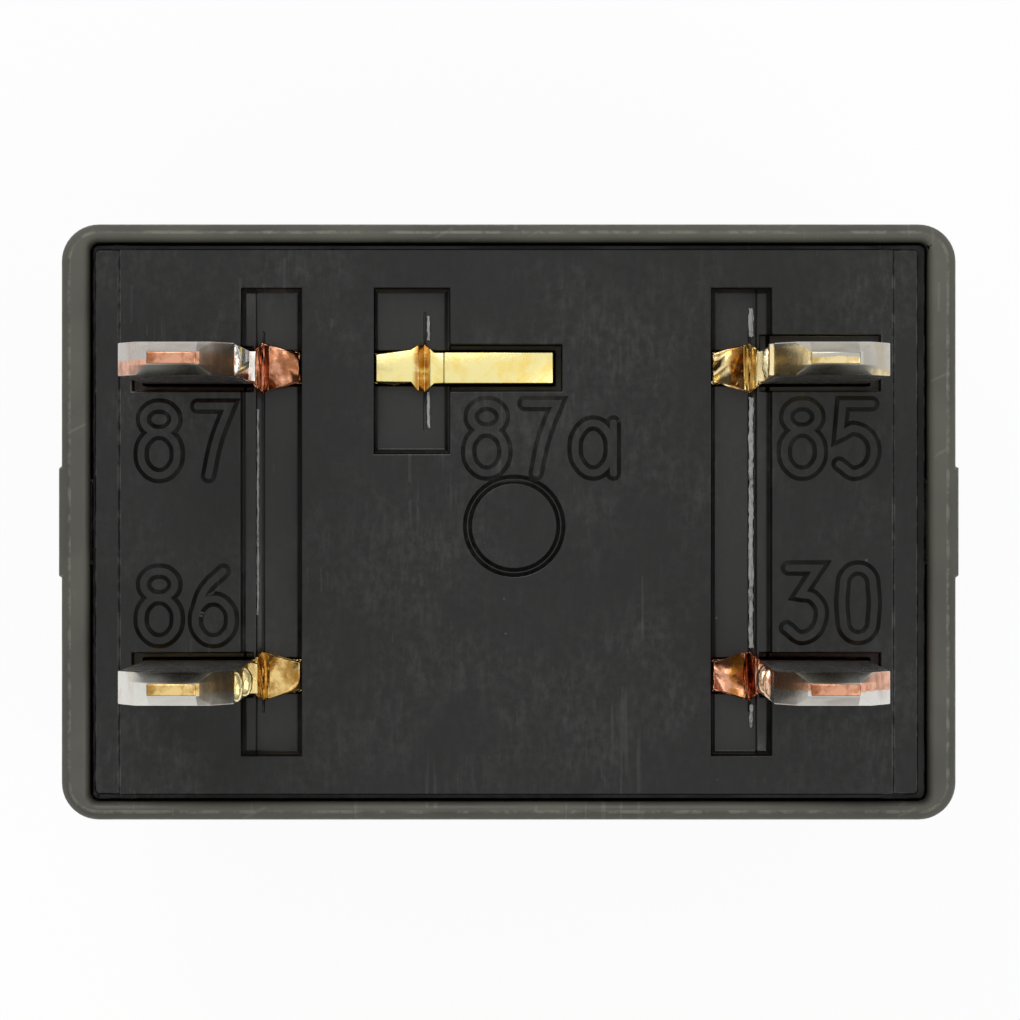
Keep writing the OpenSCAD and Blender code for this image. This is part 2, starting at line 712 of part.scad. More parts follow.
module contact_87a() {
    color([0.8, 0.8, 0.78])
        fixed_contact(nc_tab_z);
}

module contact_87() {
    color([0.8, 0.8, 0.78])
        translate([0, 0, 2 * no_tab_z + strip_t])
            mirror([0, 0, 1])
                fixed_contact(no_tab_z);
}

// What moves is drawn with the armature closed on the pole, then swung back to rest
module at_rest() {
    translate([hinge_x, 0, pole_z])
        rotate([0, -swing, 0])
            translate([-hinge_x, 0, -pole_z])
                children();
}

module moving_contact() {
    color([0.8, 0.8, 0.78])
        at_rest()
            translate([contact_x, 0, leaf_top_z]) {
                contact_head();
                translate([0, 0, -leaf_t - eps])
                    cylinder(h = leaf_t + 2 * eps, r = contact_shank_r);
                translate([0, 0, -leaf_t])
                    mirror([0, 0, 1])
                        contact_head();
            }
}

// Spring leaf: riveted up the back of the yoke, bent round the hinge, and riveted under the armature
module contact_leaf() {
    color([0.8, 0.55, 0.3])
        difference() {
            union() {
                span([hinge_x, -leaf_w / 2, bend_z - eps], [hinge_x + leaf_t, leaf_w / 2, pole_z + leaf_leg_h]);
                leaf_bend();
                leaf_blade();
            }
            yoke_rivet_holes();
            // window that leaves two limbs to flex at the hinge
            span([hinge_x - 2, -leaf_w / 5, leaf_top_z - 1], [hinge_x + 1, leaf_w / 5, pole_z + 1.6]);
        }
}

module leaf_bend() {
    outer_r = leaf_bend_r + leaf_t;
    translate([bend_x, 0, bend_z])
        rotate([90, 0, 0])
            linear_extrude(leaf_w, center = true)
                intersection() {
                    difference() {
                        circle(outer_r);
                        circle(leaf_bend_r);
                    }
                    polygon([[0, 0], [2 * outer_r, 0], [2 * outer_r, -2 * outer_r],
                             2 * outer_r * [sin(swing), -cos(swing)]]);
                }
}

// The moving stretch, from the bend's end to the contact
module leaf_blade() {
    at_rest()
        difference() {
            translate([0, 0, leaf_top_z - leaf_t])
                linear_extrude(leaf_t) {
                    polygon([[bend_closed_x + eps, -leaf_w / 2], [bend_closed_x + eps, leaf_w / 2],
                             [armature_end_x, leaf_w / 2], [contact_x, leaf_tip_w / 2],
                             [contact_x, -leaf_tip_w / 2], [armature_end_x, -leaf_w / 2]]);
                    translate([contact_x, 0])
                        circle(leaf_tip_w / 2);
                }
            translate([contact_x, 0, leaf_top_z - 1])
                cylinder(h = 2, r = contact_shank_r + bore_gap);
            armature_rivet_holes();
        }
}

module armature_rivet_holes() {
    for (s = [-1, 1])
        translate([armature_rivet_x, s * armature_rivet_y, leaf_top_z - 1])
            cylinder(h = armature_t + 2, r = armature_rivet_r + bore_gap);
}

// ---- magnet ----

module armature() {
    heel_x = hinge_x - armature_heel_gap;
    cut = leaf_bend_r + armature_heel_gap;
    top = pole_z - pole_gap;
    color([0.62, 0.62, 0.64])
        at_rest()
            difference() {
                intersection() {
                    // side view: the heel is cut away to clear the leaf's bend
                    rotate([90, 0, 0])
                        linear_extrude(yoke_w, center = true)
                            polygon([[armature_end_x, leaf_top_z], [heel_x - cut, leaf_top_z],
                                     [heel_x, leaf_top_z + cut], [heel_x, top], [armature_end_x, top]]);
                    // plan: full width over the yoke, tapered to the free end
                    translate([0, 0, leaf_top_z - 1])
                        linear_extrude(armature_t + 2)
                            polygon([[heel_x + 1, -yoke_w / 2], [heel_x + 1, yoke_w / 2],
                                     [core_x, yoke_w / 2], [armature_end_x, armature_tip_w / 2],
                                     [armature_end_x, -armature_tip_w / 2], [core_x, -yoke_w / 2]]);
                }
                armature_rivet_holes();
            }
}

module armature_rivets() {
    color([0.7, 0.7, 0.7])
        at_rest()
            for (s = [-1, 1])
                translate([armature_rivet_x, s * armature_rivet_y, leaf_top_z - leaf_t]) {
                    translate([0, 0, -rivet_head_t])
                        cylinder(h = rivet_head_t, r = armature_rivet_r * 1.7);
                    translate([0, 0, -eps])
                        cylinder(h = leaf_t + armature_t - 0.1 + eps, r = armature_rivet_r);
                }
}

module yoke() {
    color([0.62, 0.62, 0.64])
        difference() {
            union() {
                translate([hinge_x, 0, yoke_top])
                    rotate([90, 0, 0])
                        linear_extrude(foot_w, center = true)
                            rotate(180)
                                folded_section(yoke_top - pole_z, hinge_x - foot_end_x, yoke_t, bend_r);
                // the leg is wider below the terminals
                translate([yoke_in_x, 0, pole_z])
                    rotate([90, 0, 90])
                        linear_extrude(yoke_t)
                            polygon([[-yoke_w / 2, 0], [yoke_w / 2, 0],
                                     [yoke_w / 2, foot_z - pole_z - 2.6], [foot_w / 2, foot_z - pole_z - 1.2],
                                     [-foot_w / 2, foot_z - pole_z - 1.2], [-yoke_w / 2, foot_z - pole_z - 2.6]]);
            }
            translate([core_x, 0, foot_z - 1])
                cylinder(h = yoke_t + 2, r = core_r + bore_gap);
            yoke_rivet_holes();
        }
}

module yoke_rivets() {
    color([0.75, 0.7, 0.6])
        for (rise = rivet_rise)
            translate([yoke_in_x, 0, pole_z + rise])
                rotate([0, 90, 0]) {
                    cylinder(h = strap_x + strip_t - yoke_in_x + eps, r = yoke_rivet_r);
                    translate([0, 0, strap_x + strip_t - yoke_in_x])
                        cylinder(h = rivet_head_t, r = yoke_rivet_r * 1.6);
                }
}

// Turned core: pole shoe at the armature, riveted over at the yoke's foot
module core() {
    color([0.62, 0.62, 0.64])
        translate([core_x, 0, 0])
            rotate_extrude()
                polygon([[0, pole_z], [pole_r - 0.15, pole_z], [pole_r, pole_z + 0.15],
                         [pole_r, pole_z + pole_t], [core_r, pole_z + pole_t], [core_r, yoke_top],
                         [core_stake_r, yoke_top], [core_stake_r - 0.2, yoke_top + core_stake_t],
                         [0, yoke_top + core_stake_t]]);
}

module bobbin() {
    tube_r = core_r + seat_gap;
    color([0.16, 0.17, 0.17])
        translate([core_x, 0, 0])
            difference() {
                union() {
                    translate([0, 0, bobbin_bottom])
                        cylinder(h = bobbin_top - bobbin_bottom, r = tube_r + tube_wall);
                    for (z = [bobbin_bottom, bobbin_top - flange_t])
                        translate([0, 0, z])
                            rounded_plate(flange_l, flange_w, flange_t, 0.6);
                }
                translate([0, 0, bobbin_bottom - 1])
                    cylinder(h = bobbin_top - bobbin_bottom + 2, r = tube_r);
                // notches that let the wire ends out past the flange by the base
                for (s = [-1, 1])
                    translate([s * (coil_tab_x(PIN_85) - core_x), s * (wire_y + 1.6), bobbin_top - flange_t / 2])
                        cube([notch_w, 4, flange_t + 1], center = true);
            }
}

// Winding between the flanges, with its two ends brought up to the coil terminals
module coil_winding() {
    bottom = bobbin_bottom + flange_t + seat_gap;
    top = bobbin_top - flange_t - seat_gap;
    notch_x = coil_tab_x(PIN_85) - core_x;
    color([0.55, 0.25, 0.12]) {
        translate([core_x, 0, bottom])
            difference() {
                cylinder(h = top - bottom, r = winding_r);
                translate([0, 0, -1])
                    cylinder(h = top - bottom + 2, r = core_r + seat_gap + tube_wall + bore_gap);
            }
        // each end stops where the solder begins
        wire([[core_x + wire_start[0], wire_start[1], wire_start[2]],
              [core_x + notch_x, wire_y, wire_start[2] + 0.3],
              [core_x + notch_x, wire_y, joint_z - joint_r]], wire_d, [1, 0, 0]);
        wire([[core_x - wire_start[0], -wire_start[1], wire_start[2]],
              [core_x - notch_x, -wire_y, wire_start[2] + 0.3],
              [core_x - notch_x, -wire_y, joint_z],
              [coil_tab_x(PIN_86) + joint_r, -wire_y, joint_z]], wire_d, [0, 1, 0]);
    }
}

module coil_tape() {
    bottom = bobbin_bottom + flange_t + tape_end_gap;
    color([0.7, 0.55, 0.15])
        translate([core_x, 0, bottom])
            difference() {
                cylinder(h = wire_start[2] - tape_end_gap - bottom, r = winding_r + tape_t);
                translate([0, 0, -1])
                    cylinder(h = housing_h, r = winding_r);
            }
}

// ---- resistor across the coil, and the soldered joints ----

module suppression_resistor() {
    half = resistor_l / 2;
    band = 0.86;          // the middle of the body is slimmer than its two ends
    near = pitch_y / 2 + strip_t / 2 + joint_r + 0.02;
    tab_85 = coil_tab_x(PIN_85);
    tab_86 = coil_tab_x(PIN_86);
    color([0.55, 0.7, 0.75]) {
        translate([resistor_x - half, resistor_y, resistor_z])
            rotate([0, 90, 0]) {
                cylinder(h = resistor_l, r = resistor_d / 2 * band);
                for (x = [0, resistor_l * 0.76])
                    translate([0, 0, x])
                        cylinder(h = resistor_l * 0.24, r = resistor_d / 2);
            }
        wire([[resistor_x - half + 0.3, resistor_y, resistor_z], [tab_86, resistor_y, resistor_z],
              [tab_86, resistor_y, joint_z], [tab_86, -near, joint_z]], lead_d, [0, 1, 0]);
        wire([[resistor_x + half - 0.3, resistor_y, resistor_z], [lead_cross_x, resistor_y, resistor_z],
              [lead_cross_x, -resistor_y, resistor_z], [tab_85, -resistor_y, resistor_z],
              [tab_85, -resistor_y, joint_z], [tab_85, near, joint_z]], lead_d, [0, 0, 1]);
    }
}

module solder_joints() {
    color([0.75, 0.75, 0.76])
        for (pin = [PIN_85, PIN_86])
            translate([coil_tab_x(pin), pin[1] + sign(pin[1]) * strip_t / 2, joint_z])
                intersection() {
                    sphere(joint_r);
                    translate([-1, pin[1] > 0 ? 0 : -2, -1])
                        cube([2, 2, 2]);
                }
}

cover();
base();
terminal_30();
terminal_85();
terminal_86();
terminal_87();
terminal_87a();
contact_87();
contact_87a();
moving_contact();
contact_leaf();
armature();
armature_rivets();
yoke();
yoke_rivets();
core();
bobbin();
coil_winding();
coil_tape();
suppression_resistor();
solder_joints();
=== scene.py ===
import json
import math

import bpy
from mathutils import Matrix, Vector

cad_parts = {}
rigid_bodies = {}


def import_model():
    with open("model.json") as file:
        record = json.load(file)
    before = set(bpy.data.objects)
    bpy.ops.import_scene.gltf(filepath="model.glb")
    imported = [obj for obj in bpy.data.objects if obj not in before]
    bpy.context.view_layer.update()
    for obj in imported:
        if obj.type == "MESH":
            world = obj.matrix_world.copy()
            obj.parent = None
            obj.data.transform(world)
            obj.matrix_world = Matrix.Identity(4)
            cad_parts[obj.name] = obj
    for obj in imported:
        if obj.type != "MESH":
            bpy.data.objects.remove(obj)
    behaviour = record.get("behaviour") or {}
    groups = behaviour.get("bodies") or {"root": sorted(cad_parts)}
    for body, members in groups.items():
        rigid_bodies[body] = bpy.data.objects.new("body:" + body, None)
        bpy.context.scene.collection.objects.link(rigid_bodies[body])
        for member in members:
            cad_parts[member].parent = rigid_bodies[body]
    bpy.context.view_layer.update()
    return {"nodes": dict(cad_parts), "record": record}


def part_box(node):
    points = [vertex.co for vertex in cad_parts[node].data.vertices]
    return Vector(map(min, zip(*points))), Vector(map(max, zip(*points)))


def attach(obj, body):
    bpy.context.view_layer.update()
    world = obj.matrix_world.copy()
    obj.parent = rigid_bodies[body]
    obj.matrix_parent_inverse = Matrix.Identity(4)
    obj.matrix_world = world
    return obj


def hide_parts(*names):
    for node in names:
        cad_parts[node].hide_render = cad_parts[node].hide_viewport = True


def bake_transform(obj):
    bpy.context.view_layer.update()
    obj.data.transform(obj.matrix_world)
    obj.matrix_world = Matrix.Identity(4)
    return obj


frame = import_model()
mm = 0.001
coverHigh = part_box("cover")[1]
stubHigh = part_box("terminal_87a")[1]
strip = dict(width=2.8 * mm, thickness=0.8 * mm, stubRise=0.05 * mm)
plateTop = stubHigh.z - strip["stubRise"]
# the middle of each terminal where it leaves the base
terminalAt = {"terminal_" + mount["name"][len("blade_"):]: Vector(mount["pos_m"])
              for mount in frame["record"]["mounts"] if mount["name"].startswith("blade_")}
terminalAt["terminal_87a"] = Vector((stubHigh.x - strip["width"] / 2, stubHigh.y - strip["thickness"] / 2, plateTop))


# small helpers for working in object and edit mode

def deselectAll():
    if bpy.context.object and bpy.context.object.mode != "OBJECT":
        bpy.ops.object.mode_set(mode="OBJECT")
    bpy.ops.object.select_all(action="DESELECT")


def pickOnly(piece):
    deselectAll()
    piece.select_set(True)
    bpy.context.view_layer.objects.active = piece


def editAll(piece):
    pickOnly(piece)
    bpy.ops.object.mode_set(mode="EDIT")
    bpy.ops.mesh.select_mode(type="VERT")
    bpy.ops.mesh.select_all(action="SELECT")


# wanted gets a face's centre and normal
def selectFaces(piece, wanted):
    bpy.ops.object.mode_set(mode="EDIT")
    bpy.ops.mesh.select_mode(type="FACE")
    bpy.ops.mesh.select_all(action="DESELECT")
    bpy.ops.object.mode_set(mode="OBJECT")
    for face in piece.data.polygons:
        face.select = wanted(face.center, face.normal)
    bpy.ops.object.mode_set(mode="EDIT")


# the edges at the foot of a wall that stands on a level face
def footEdges(piece, upright=0.3, level=0.9, drop=0.01 * mm):
    sides = {}
    for face in piece.data.polygons:
        for key in face.edge_keys:
            sides.setdefault(key, []).append(face)
    feet = set()
    for key, faces in sides.items():
        if len(faces) != 2:
            continue
        wall, floor = sorted(faces, key=lambda face: face.normal.z)
        if abs(wall.normal.z) < upright and floor.normal.z > level and wall.center.z > floor.center.z + drop:
            feet.add(key)
    return feet


# wanted gets an edge's two ends
def selectSharpEdges(piece, wanted, sharpness, among=None):
    pickOnly(piece)
    bpy.ops.object.mode_set(mode="EDIT")
    bpy.ops.mesh.select_mode(type="EDGE")
    bpy.ops.mesh.select_all(action="DESELECT")
    bpy.ops.mesh.edges_select_sharp(sharpness=math.radians(sharpness))
    bpy.ops.object.mode_set(mode="OBJECT")
    points = piece.data.vertices
    picked = [edge.index for edge in piece.data.edges
              if edge.select and (among is None or edge.key in among)
              and wanted(points[edge.vertices[0]].co, points[edge.vertices[1]].co)]
    bpy.ops.object.mode_set(mode="EDIT")
    bpy.ops.mesh.select_all(action="DESELECT")
    bpy.ops.object.mode_set(mode="OBJECT")
    for index in picked:
        piece.data.edges[index].select = True
    bpy.ops.object.mode_set(mode="EDIT")
    return len(picked)


def bevelEdges(width, segments=1):
    bpy.ops.mesh.bevel(offset_type="OFFSET", offset=width, segments=segments, affect="EDGES", clamp_overlap=False)
    bpy.ops.object.mode_set(mode="OBJECT")


def joined(pieces, name):
    deselectAll()
    for piece in pieces:
        piece.select_set(True)
    bpy.context.view_layer.objects.active = pieces[0]
    if len(pieces) > 1:
        bpy.ops.object.join()
    piece = bpy.context.object
    piece.name = piece.data.name = name
    return piece


def placeInMesh(piece):
    pickOnly(piece)
    bpy.ops.object.transform_apply(location=True, rotation=True, scale=True)


def copyOfNode(node, name, weld=0.0004 * mm, flatAngle=0.6):
    pickOnly(frame["nodes"][node])
    bpy.ops.object.duplicate()
    piece = bpy.context.object
    bpy.ops.object.parent_clear(type="CLEAR_KEEP_TRANSFORM")
    for key in list(piece.keys()):   # a plain piece again, no longer the frame's own node
        del piece[key]
    piece.name = piece.data.name = name
    piece.data.materials.clear()
    editAll(piece)
    bpy.ops.mesh.remove_doubles(threshold=weld)
    bpy.ops.mesh.dissolve_limited(angle_limit=math.radians(flatAngle))
    bpy.ops.object.mode_set(mode="OBJECT")
    return piece


# rounds the sharp edges, and keeps where they are in the attribute softEdge
def softenEdges(piece, width, sharperThan, segments=2, smoothBelow=38):
    pickOnly(piece)
    piece.data.materials.append(None)
    piece.data.materials.append(None)
    bpy.ops.object.modifier_add(type="BEVEL")
    bevel = piece.modifiers[-1]
    bevel.width = width
    bevel.segments = segments
    bevel.limit_method = "ANGLE"
    bevel.angle_limit = math.radians(sharperThan)
    bevel.use_clamp_overlap = False
    bevel.material = 1   # marks the new faces
    bpy.ops.object.modifier_apply(modifier=bevel.name)
    mask = piece.data.attributes.new("softEdge", "FLOAT", "FACE")
    for face, value in zip(piece.data.polygons, mask.data):
        value.value = float(face.material_index == 1)
        face.material_index = 0
    bpy.ops.object.shade_smooth_by_angle(angle=math.radians(smoothBelow))


# keeps the large faces flat beside the rounded edges
def weighNormals(piece):
    pickOnly(piece)
    bpy.ops.object.modifier_add(type="WEIGHTED_NORMAL")
    piece.modifiers[-1].keep_sharp = True
    bpy.ops.object.modifier_apply(modifier=piece.modifiers[-1].name)


# a piece without a body is attached to none
def finishPiece(piece, body, material, nodes=()):
    piece.data.materials.clear()
    piece.data.materials.append(material)
    if body:
        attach(piece, body)
    if nodes:
        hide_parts(*nodes)


# node trees

def addNode(tree, kind, **values):
    node = tree.nodes.new(kind)
    for key, value in values.items():
        if hasattr(node, key):
            setattr(node, key, value)
        else:
            node.inputs[key.replace("_", " ")].default_value = value
    return node


def objectPoint(tree, centre=None):
    coordinates = addNode(tree, "ShaderNodeTexCoord")
    if centre is None:
        return coordinates.outputs["Object"]
    mapping = addNode(tree, "ShaderNodeMapping", vector_type="POINT")
    mapping.inputs["Location"].default_value = [-value for value in centre]
    link(tree, coordinates.outputs["Object"], mapping.inputs["Vector"])
    return mapping.outputs["Vector"]


def link(tree, source, target):
    tree.links.new(source, target)


def mathNode(tree, operation, *values, clamp=False):
    node = addNode(tree, "ShaderNodeMath", operation=operation, use_clamp=clamp)
    for socket, value in zip(node.inputs, values):
        if isinstance(value, (int, float)):
            socket.default_value = value
        else:
            link(tree, value, socket)
    return node.outputs[0]


def times(tree, first, *others):
    for other in others:
        first = mathNode(tree, "MULTIPLY", first, other)
    return first


def plus(tree, first, *others):
    for other in others:
        first = mathNode(tree, "ADD", first, other)
    return first


def minus(tree, first, second):
    return mathNode(tree, "SUBTRACT", first, second)


def opposite(tree, mask):
    return mathNode(tree, "SUBTRACT", 1.0, mask)


def absolute(tree, value):
    return mathNode(tree, "ABSOLUTE", value)


def isAbove(tree, value, limit):
    return mathNode(tree, "GREATER_THAN", value, limit)


def isBelow(tree, value, limit):
    return mathNode(tree, "LESS_THAN", value, limit)


def larger(tree, first, second):
    return mathNode(tree, "MAXIMUM", first, second)


def axesOf(tree, vector):
    split = addNode(tree, "ShaderNodeSeparateXYZ")
    link(tree, vector, split.inputs["Vector"])
    return split.outputs["X"], split.outputs["Y"], split.outputs["Z"]


def rampNode(tree, source, low, high, fromValue=0.0, toValue=1.0):
    node = addNode(tree, "ShaderNodeMapRange", interpolation_type="SMOOTHSTEP")
    link(tree, source, node.inputs["Value"])
    node.inputs["From Min"].default_value = low
    node.inputs["From Max"].default_value = high
    node.inputs["To Min"].default_value = fromValue
    node.inputs["To Max"].default_value = toValue
    return node.outputs["Result"]


def mixColour(tree, factor, first, second):
    node = addNode(tree, "ShaderNodeMix", data_type="RGBA")
    sockets = [socket for socket in node.inputs if socket.enabled]
    for socket, value in zip(sockets, (factor, first, second)):
        if isinstance(value, (int, float)):
            socket.default_value = value
        elif isinstance(value, (tuple, list)):
            socket.default_value = (*value, 1)
        else:
            link(tree, value, socket)
    return [socket for socket in node.outputs if socket.enabled][0]


# size is the width of one blotch
def noiseNode(tree, vector, size, detail=3.0, roughness=0.5):
    node = addNode(tree, "ShaderNodeTexNoise", Scale=1 / size, Detail=detail, Roughness=roughness)
    link(tree, vector, node.inputs["Vector"])
    return node.outputs["Fac"]


# scale is how many lines there are in a metre along each axis
def drawnNoise(tree, vector, scale, detail, roughness):
    stretch = addNode(tree, "ShaderNodeMapping")
    stretch.inputs["Scale"].default_value = scale
    link(tree, vector, stretch.inputs["Vector"])
    return noiseNode(tree, stretch.outputs["Vector"], 1.0, detail, roughness)


# an input without a value is a vector, and every other socket is a number
def newGroup(name, inputs, outputs):
    tree = bpy.data.node_groups.new(name, "ShaderNodeTree")
    for title, value in inputs.items():
        kind = "NodeSocketVector" if value is None else "NodeSocketFloat"
        socket = tree.interface.new_socket(name=title, in_out="INPUT", socket_type=kind)
        if value is not None:
            socket.default_value = value
    for title in outputs:
        tree.interface.new_socket(name=title, in_out="OUTPUT", socket_type="NodeSocketFloat")
    return tree, tree.nodes.new("NodeGroupInput"), tree.nodes.new("NodeGroupOutput")


def useGroup(tree, group, **values):
    node = tree.nodes.new("ShaderNodeGroup")
    node.node_tree = group
    for key, value in values.items():
        if isinstance(value, (int, float)):
            node.inputs[key].default_value = value
        else:
            link(tree, value, node.inputs[key])
    return node


def newMaterial(name, **uniform):
    material = bpy.data.materials.new(name)
    material.use_nodes = True
    tree = material.node_tree
    shader = tree.nodes["Principled BSDF"]
    for key, value in uniform.items():
        shader.inputs[key.replace("_", " ")].default_value = value
    return material, tree, shader


def bumpInto(tree, shader, height, distance):
    bump = addNode(tree, "ShaderNodeBump", Strength=1.0, Distance=distance)
    link(tree, height, bump.inputs["Height"])
    link(tree, bump.outputs["Normal"], shader.inputs["Normal"])


# shared effects

mouldGrain = dict(fine=0.055 * mm, coarse=0.16 * mm, slow=2.6 * mm, swing=2.5, patches=(0.35, 0.65))


# fine eroded grain of a mould, with slow waves from the filling of it
def makeGrainGroup():
    tree, inside, outside = newGroup("mouldGrain", dict(Vector=None, Waves=1.0), ["Height", "Patches"])
    point = inside.outputs["Vector"]
    fine = noiseNode(tree, point, mouldGrain["fine"], 2.0, 0.6)
    coarse = noiseNode(tree, point, mouldGrain["coarse"], 3.0, 0.55)
    slow = noiseNode(tree, point, mouldGrain["slow"], 3.0, 0.55)
    waves = times(tree, slow, inside.outputs["Waves"], mouldGrain["swing"])
    link(tree, plus(tree, fine, coarse, waves), outside.inputs["Height"])
    link(tree, rampNode(tree, slow, *mouldGrain["patches"]), outside.inputs["Patches"])
    return tree


hairline = dict(scale=(9000, 260, 260), line=(0.62, 0.72), breaks=2.2 * mm, gap=0.64, perAmount=0.3)


# short hairlines along Y and Z, broken up, as a mask from 0 to 1
def makeScratchGroup():
    tree, inside, outside = newGroup("hairScratches", dict(Vector=None, Turn=0.0, Amount=0.3), ["Mask"])
    turn = addNode(tree, "ShaderNodeVectorRotate", rotation_type="Z_AXIS")
    link(tree, inside.outputs["Vector"], turn.inputs["Vector"])
    link(tree, inside.outputs["Turn"], turn.inputs["Angle"])
    lines = drawnNoise(tree, turn.outputs["Vector"], hairline["scale"], 1.0, 0.4)
    breaks = noiseNode(tree, turn.outputs["Vector"], hairline["breaks"], 2.0, 0.5)
    gap = minus(tree, hairline["gap"], times(tree, inside.outputs["Amount"], hairline["perAmount"]))
    mask = times(tree, rampNode(tree, lines, *hairline["line"]), isAbove(tree, breaks, gap))
    link(tree, mask, outside.inputs["Mask"])
    return tree


speck = dict(spacing=1.4 * mm, size=0.03, patch=4 * mm, patches=(0.5, 0.62))


# pale specks, far apart
def makeDustGroup():
    inputs = dict(Vector=None, Spacing=speck["spacing"], Size=speck["size"])
    tree, inside, outside = newGroup("paleSpecks", inputs, ["Mask"])
    cells = addNode(tree, "ShaderNodeTexVoronoi", feature="F1")
    link(tree, inside.outputs["Vector"], cells.inputs["Vector"])
    link(tree, mathNode(tree, "DIVIDE", 1.0, inside.outputs["Spacing"]), cells.inputs["Scale"])
    dot = isBelow(tree, cells.outputs["Distance"], inside.outputs["Size"])
    patch = noiseNode(tree, inside.outputs["Vector"], speck["patch"], 2.0)
    link(tree, times(tree, dot, rampNode(tree, patch, *speck["patches"])), outside.inputs["Mask"])
    return tree


# blotches of painted highlight along the rounded edges of the plastic
edgeSheen = dict(blotch=0.45 * mm, painted=(0.42, 0.62))


# 1 in blotches along the rounded edges, where a highlight is painted, 0 elsewhere
def makeEdgeGroup():
    tree, inside, outside = newGroup("sheenEdges", dict(Vector=None, Edge=0.0), ["Mask"])
    painted = rampNode(tree, noiseNode(tree, inside.outputs["Vector"], edgeSheen["blotch"], 4.0, 0.65), *edgeSheen["painted"])
    link(tree, times(tree, inside.outputs["Edge"], painted), outside.inputs["Mask"])
    return tree


longSmear = dict(scale=(5200, 1500, 1500), streaks=(0.44, 0.72), streak=0.8,
                 spotSize=0.22 * mm, spots=(0.35, 0.7), spot=0.5, patch=3.2 * mm, patches=(0.38, 0.66, 0.15, 1.0))


# soft smears along Y, in patches
def makeSmearGroup():
    tree, inside, outside = newGroup("longSmears", dict(Vector=None), ["Mask"])
    point = inside.outputs["Vector"]
    streaks = rampNode(tree, drawnNoise(tree, point, longSmear["scale"], 5.0, 0.68), *longSmear["streaks"])
    spots = rampNode(tree, noiseNode(tree, point, longSmear["spotSize"], 3.0, 0.6), *longSmear["spots"])
    patches = rampNode(tree, noiseNode(tree, point, longSmear["patch"], 3.0, 0.55), *longSmear["patches"])
    both = plus(tree, times(tree, streaks, longSmear["streak"]), times(tree, spots, longSmear["spot"]))
    link(tree, mathNode(tree, "MULTIPLY", both, patches, clamp=True), outside.inputs["Mask"])
    return tree


grainGroup = makeGrainGroup()
smearGroup = makeSmearGroup()
scratchGroup = makeScratchGroup()
dustGroup = makeDustGroup()
edgeGroup = makeEdgeGroup()
print("shared effects made")


# plastics

# each plastic's lighter colour is that of its scratches, and is painted on its rounded edges as a highlight
plastic = {
    "cover": dict(colour=(0.068, 0.067, 0.053), roughness=(0.40, 0.55), grain=0.0020, waves=0.5,
                  sheenAndScratch=(0.20, 0.20, 0.165), edgeSheen=0.55, scratches=0.25, lines=(0.3, 0.1),
                  smear=(0.085, 0.084, 0.068), smearing=0.5),
    "base": dict(colour=(0.0022, 0.0022, 0.0020), roughness=(0.30, 0.50), grain=0.0030, waves=2.2,
                 sheenAndScratch=(0.13, 0.13, 0.125), edgeSheen=0.4, sheenBeyond=9.6 * mm, scratches=0.12, lines=(0.1, 0.0),
                 smear=(0.030, 0.030, 0.029), smearing=0.8, ior=1.45),
    "bobbin": dict(colour=(0.032, 0.030, 0.027), roughness=(0.4, 0.55), grain=0.0015, waves=0.6,
                   sheenAndScratch=(0.08, 0.075, 0.07), edgeSheen=0.2, scratches=0.0, lines=(0.0, 0.0),
                   smear=(0.04, 0.038, 0.034), smearing=0.3),
}
plasticWearAndSheen = dict(turn=1.1, patch=1.35, paleTone=(0.15, 0.15, 0.145), paleShare=0.35, polish=-0.06, cut=0.5, sideways=0.7,
                   fade=0.1 * mm)


def makePlastic(name, settings, relief=None):
    material, tree, shader = newMaterial(name, IOR=settings.get("ior", 1.5))
    point = objectPoint(tree)
    along, across = settings["lines"]
    grain = useGroup(tree, grainGroup, Vector=point, Waves=settings["waves"])
    scratch = useGroup(tree, scratchGroup, Vector=point, Turn=0.0, Amount=along).outputs["Mask"]
    if across:
        crossed = useGroup(tree, scratchGroup, Vector=point, Turn=plasticWearAndSheen["turn"], Amount=across)
        scratch = larger(tree, scratch, crossed.outputs["Mask"])
    # the lines run along Y and Z, so there are none on walls that face X
    facingX = axesOf(tree, addNode(tree, "ShaderNodeNewGeometry").outputs["True Normal"])[0]
    scratch = times(tree, scratch, isBelow(tree, absolute(tree, facingX), plasticWearAndSheen["sideways"]))
    smears = useGroup(tree, smearGroup, Vector=point).outputs["Mask"]
    specks = useGroup(tree, dustGroup, Vector=point).outputs["Mask"]
    soft = addNode(tree, "ShaderNodeAttribute", attribute_name="softEdge")
    edges = useGroup(tree, edgeGroup, Vector=point, Edge=soft.outputs["Fac"]).outputs["Mask"]
    beyond = settings.get("sheenBeyond", 0.0)
    outer = rampNode(tree, absolute(tree, axesOf(tree, point)[0]), beyond - plasticWearAndSheen["fade"], beyond)
    patches = grain.outputs["Patches"]
    patchColour = [value * plasticWearAndSheen["patch"] for value in settings["colour"]]
    shade = mixColour(tree, patches, settings["colour"], patchColour)
    shade = mixColour(tree, times(tree, smears, settings["smearing"]), shade, settings["smear"])
    # a painted highlight on the rounded edges: all over the cover, and on the base only near its ends
    shade = mixColour(tree, times(tree, edges, outer, settings["edgeSheen"]), shade, settings["sheenAndScratch"])
    shade = mixColour(tree, times(tree, scratch, settings["scratches"]), shade, settings["sheenAndScratch"])
    shade = mixColour(tree, times(tree, specks, plasticWearAndSheen["paleShare"]), shade, plasticWearAndSheen["paleTone"])
    height = minus(tree, grain.outputs["Height"], times(tree, scratch, plasticWearAndSheen["cut"]))
    if relief:
        shade, height = relief(tree, point, shade, height, settings["grain"] * mm)
    link(tree, shade, shader.inputs["Base Color"])
    rough = rampNode(tree, patches, 0.0, 1.0, *settings["roughness"])
    link(tree, plus(tree, rough, times(tree, scratch, plasticWearAndSheen["polish"])), shader.inputs["Roughness"])
    bumpInto(tree, shader, height, settings["grain"] * mm)
    return material


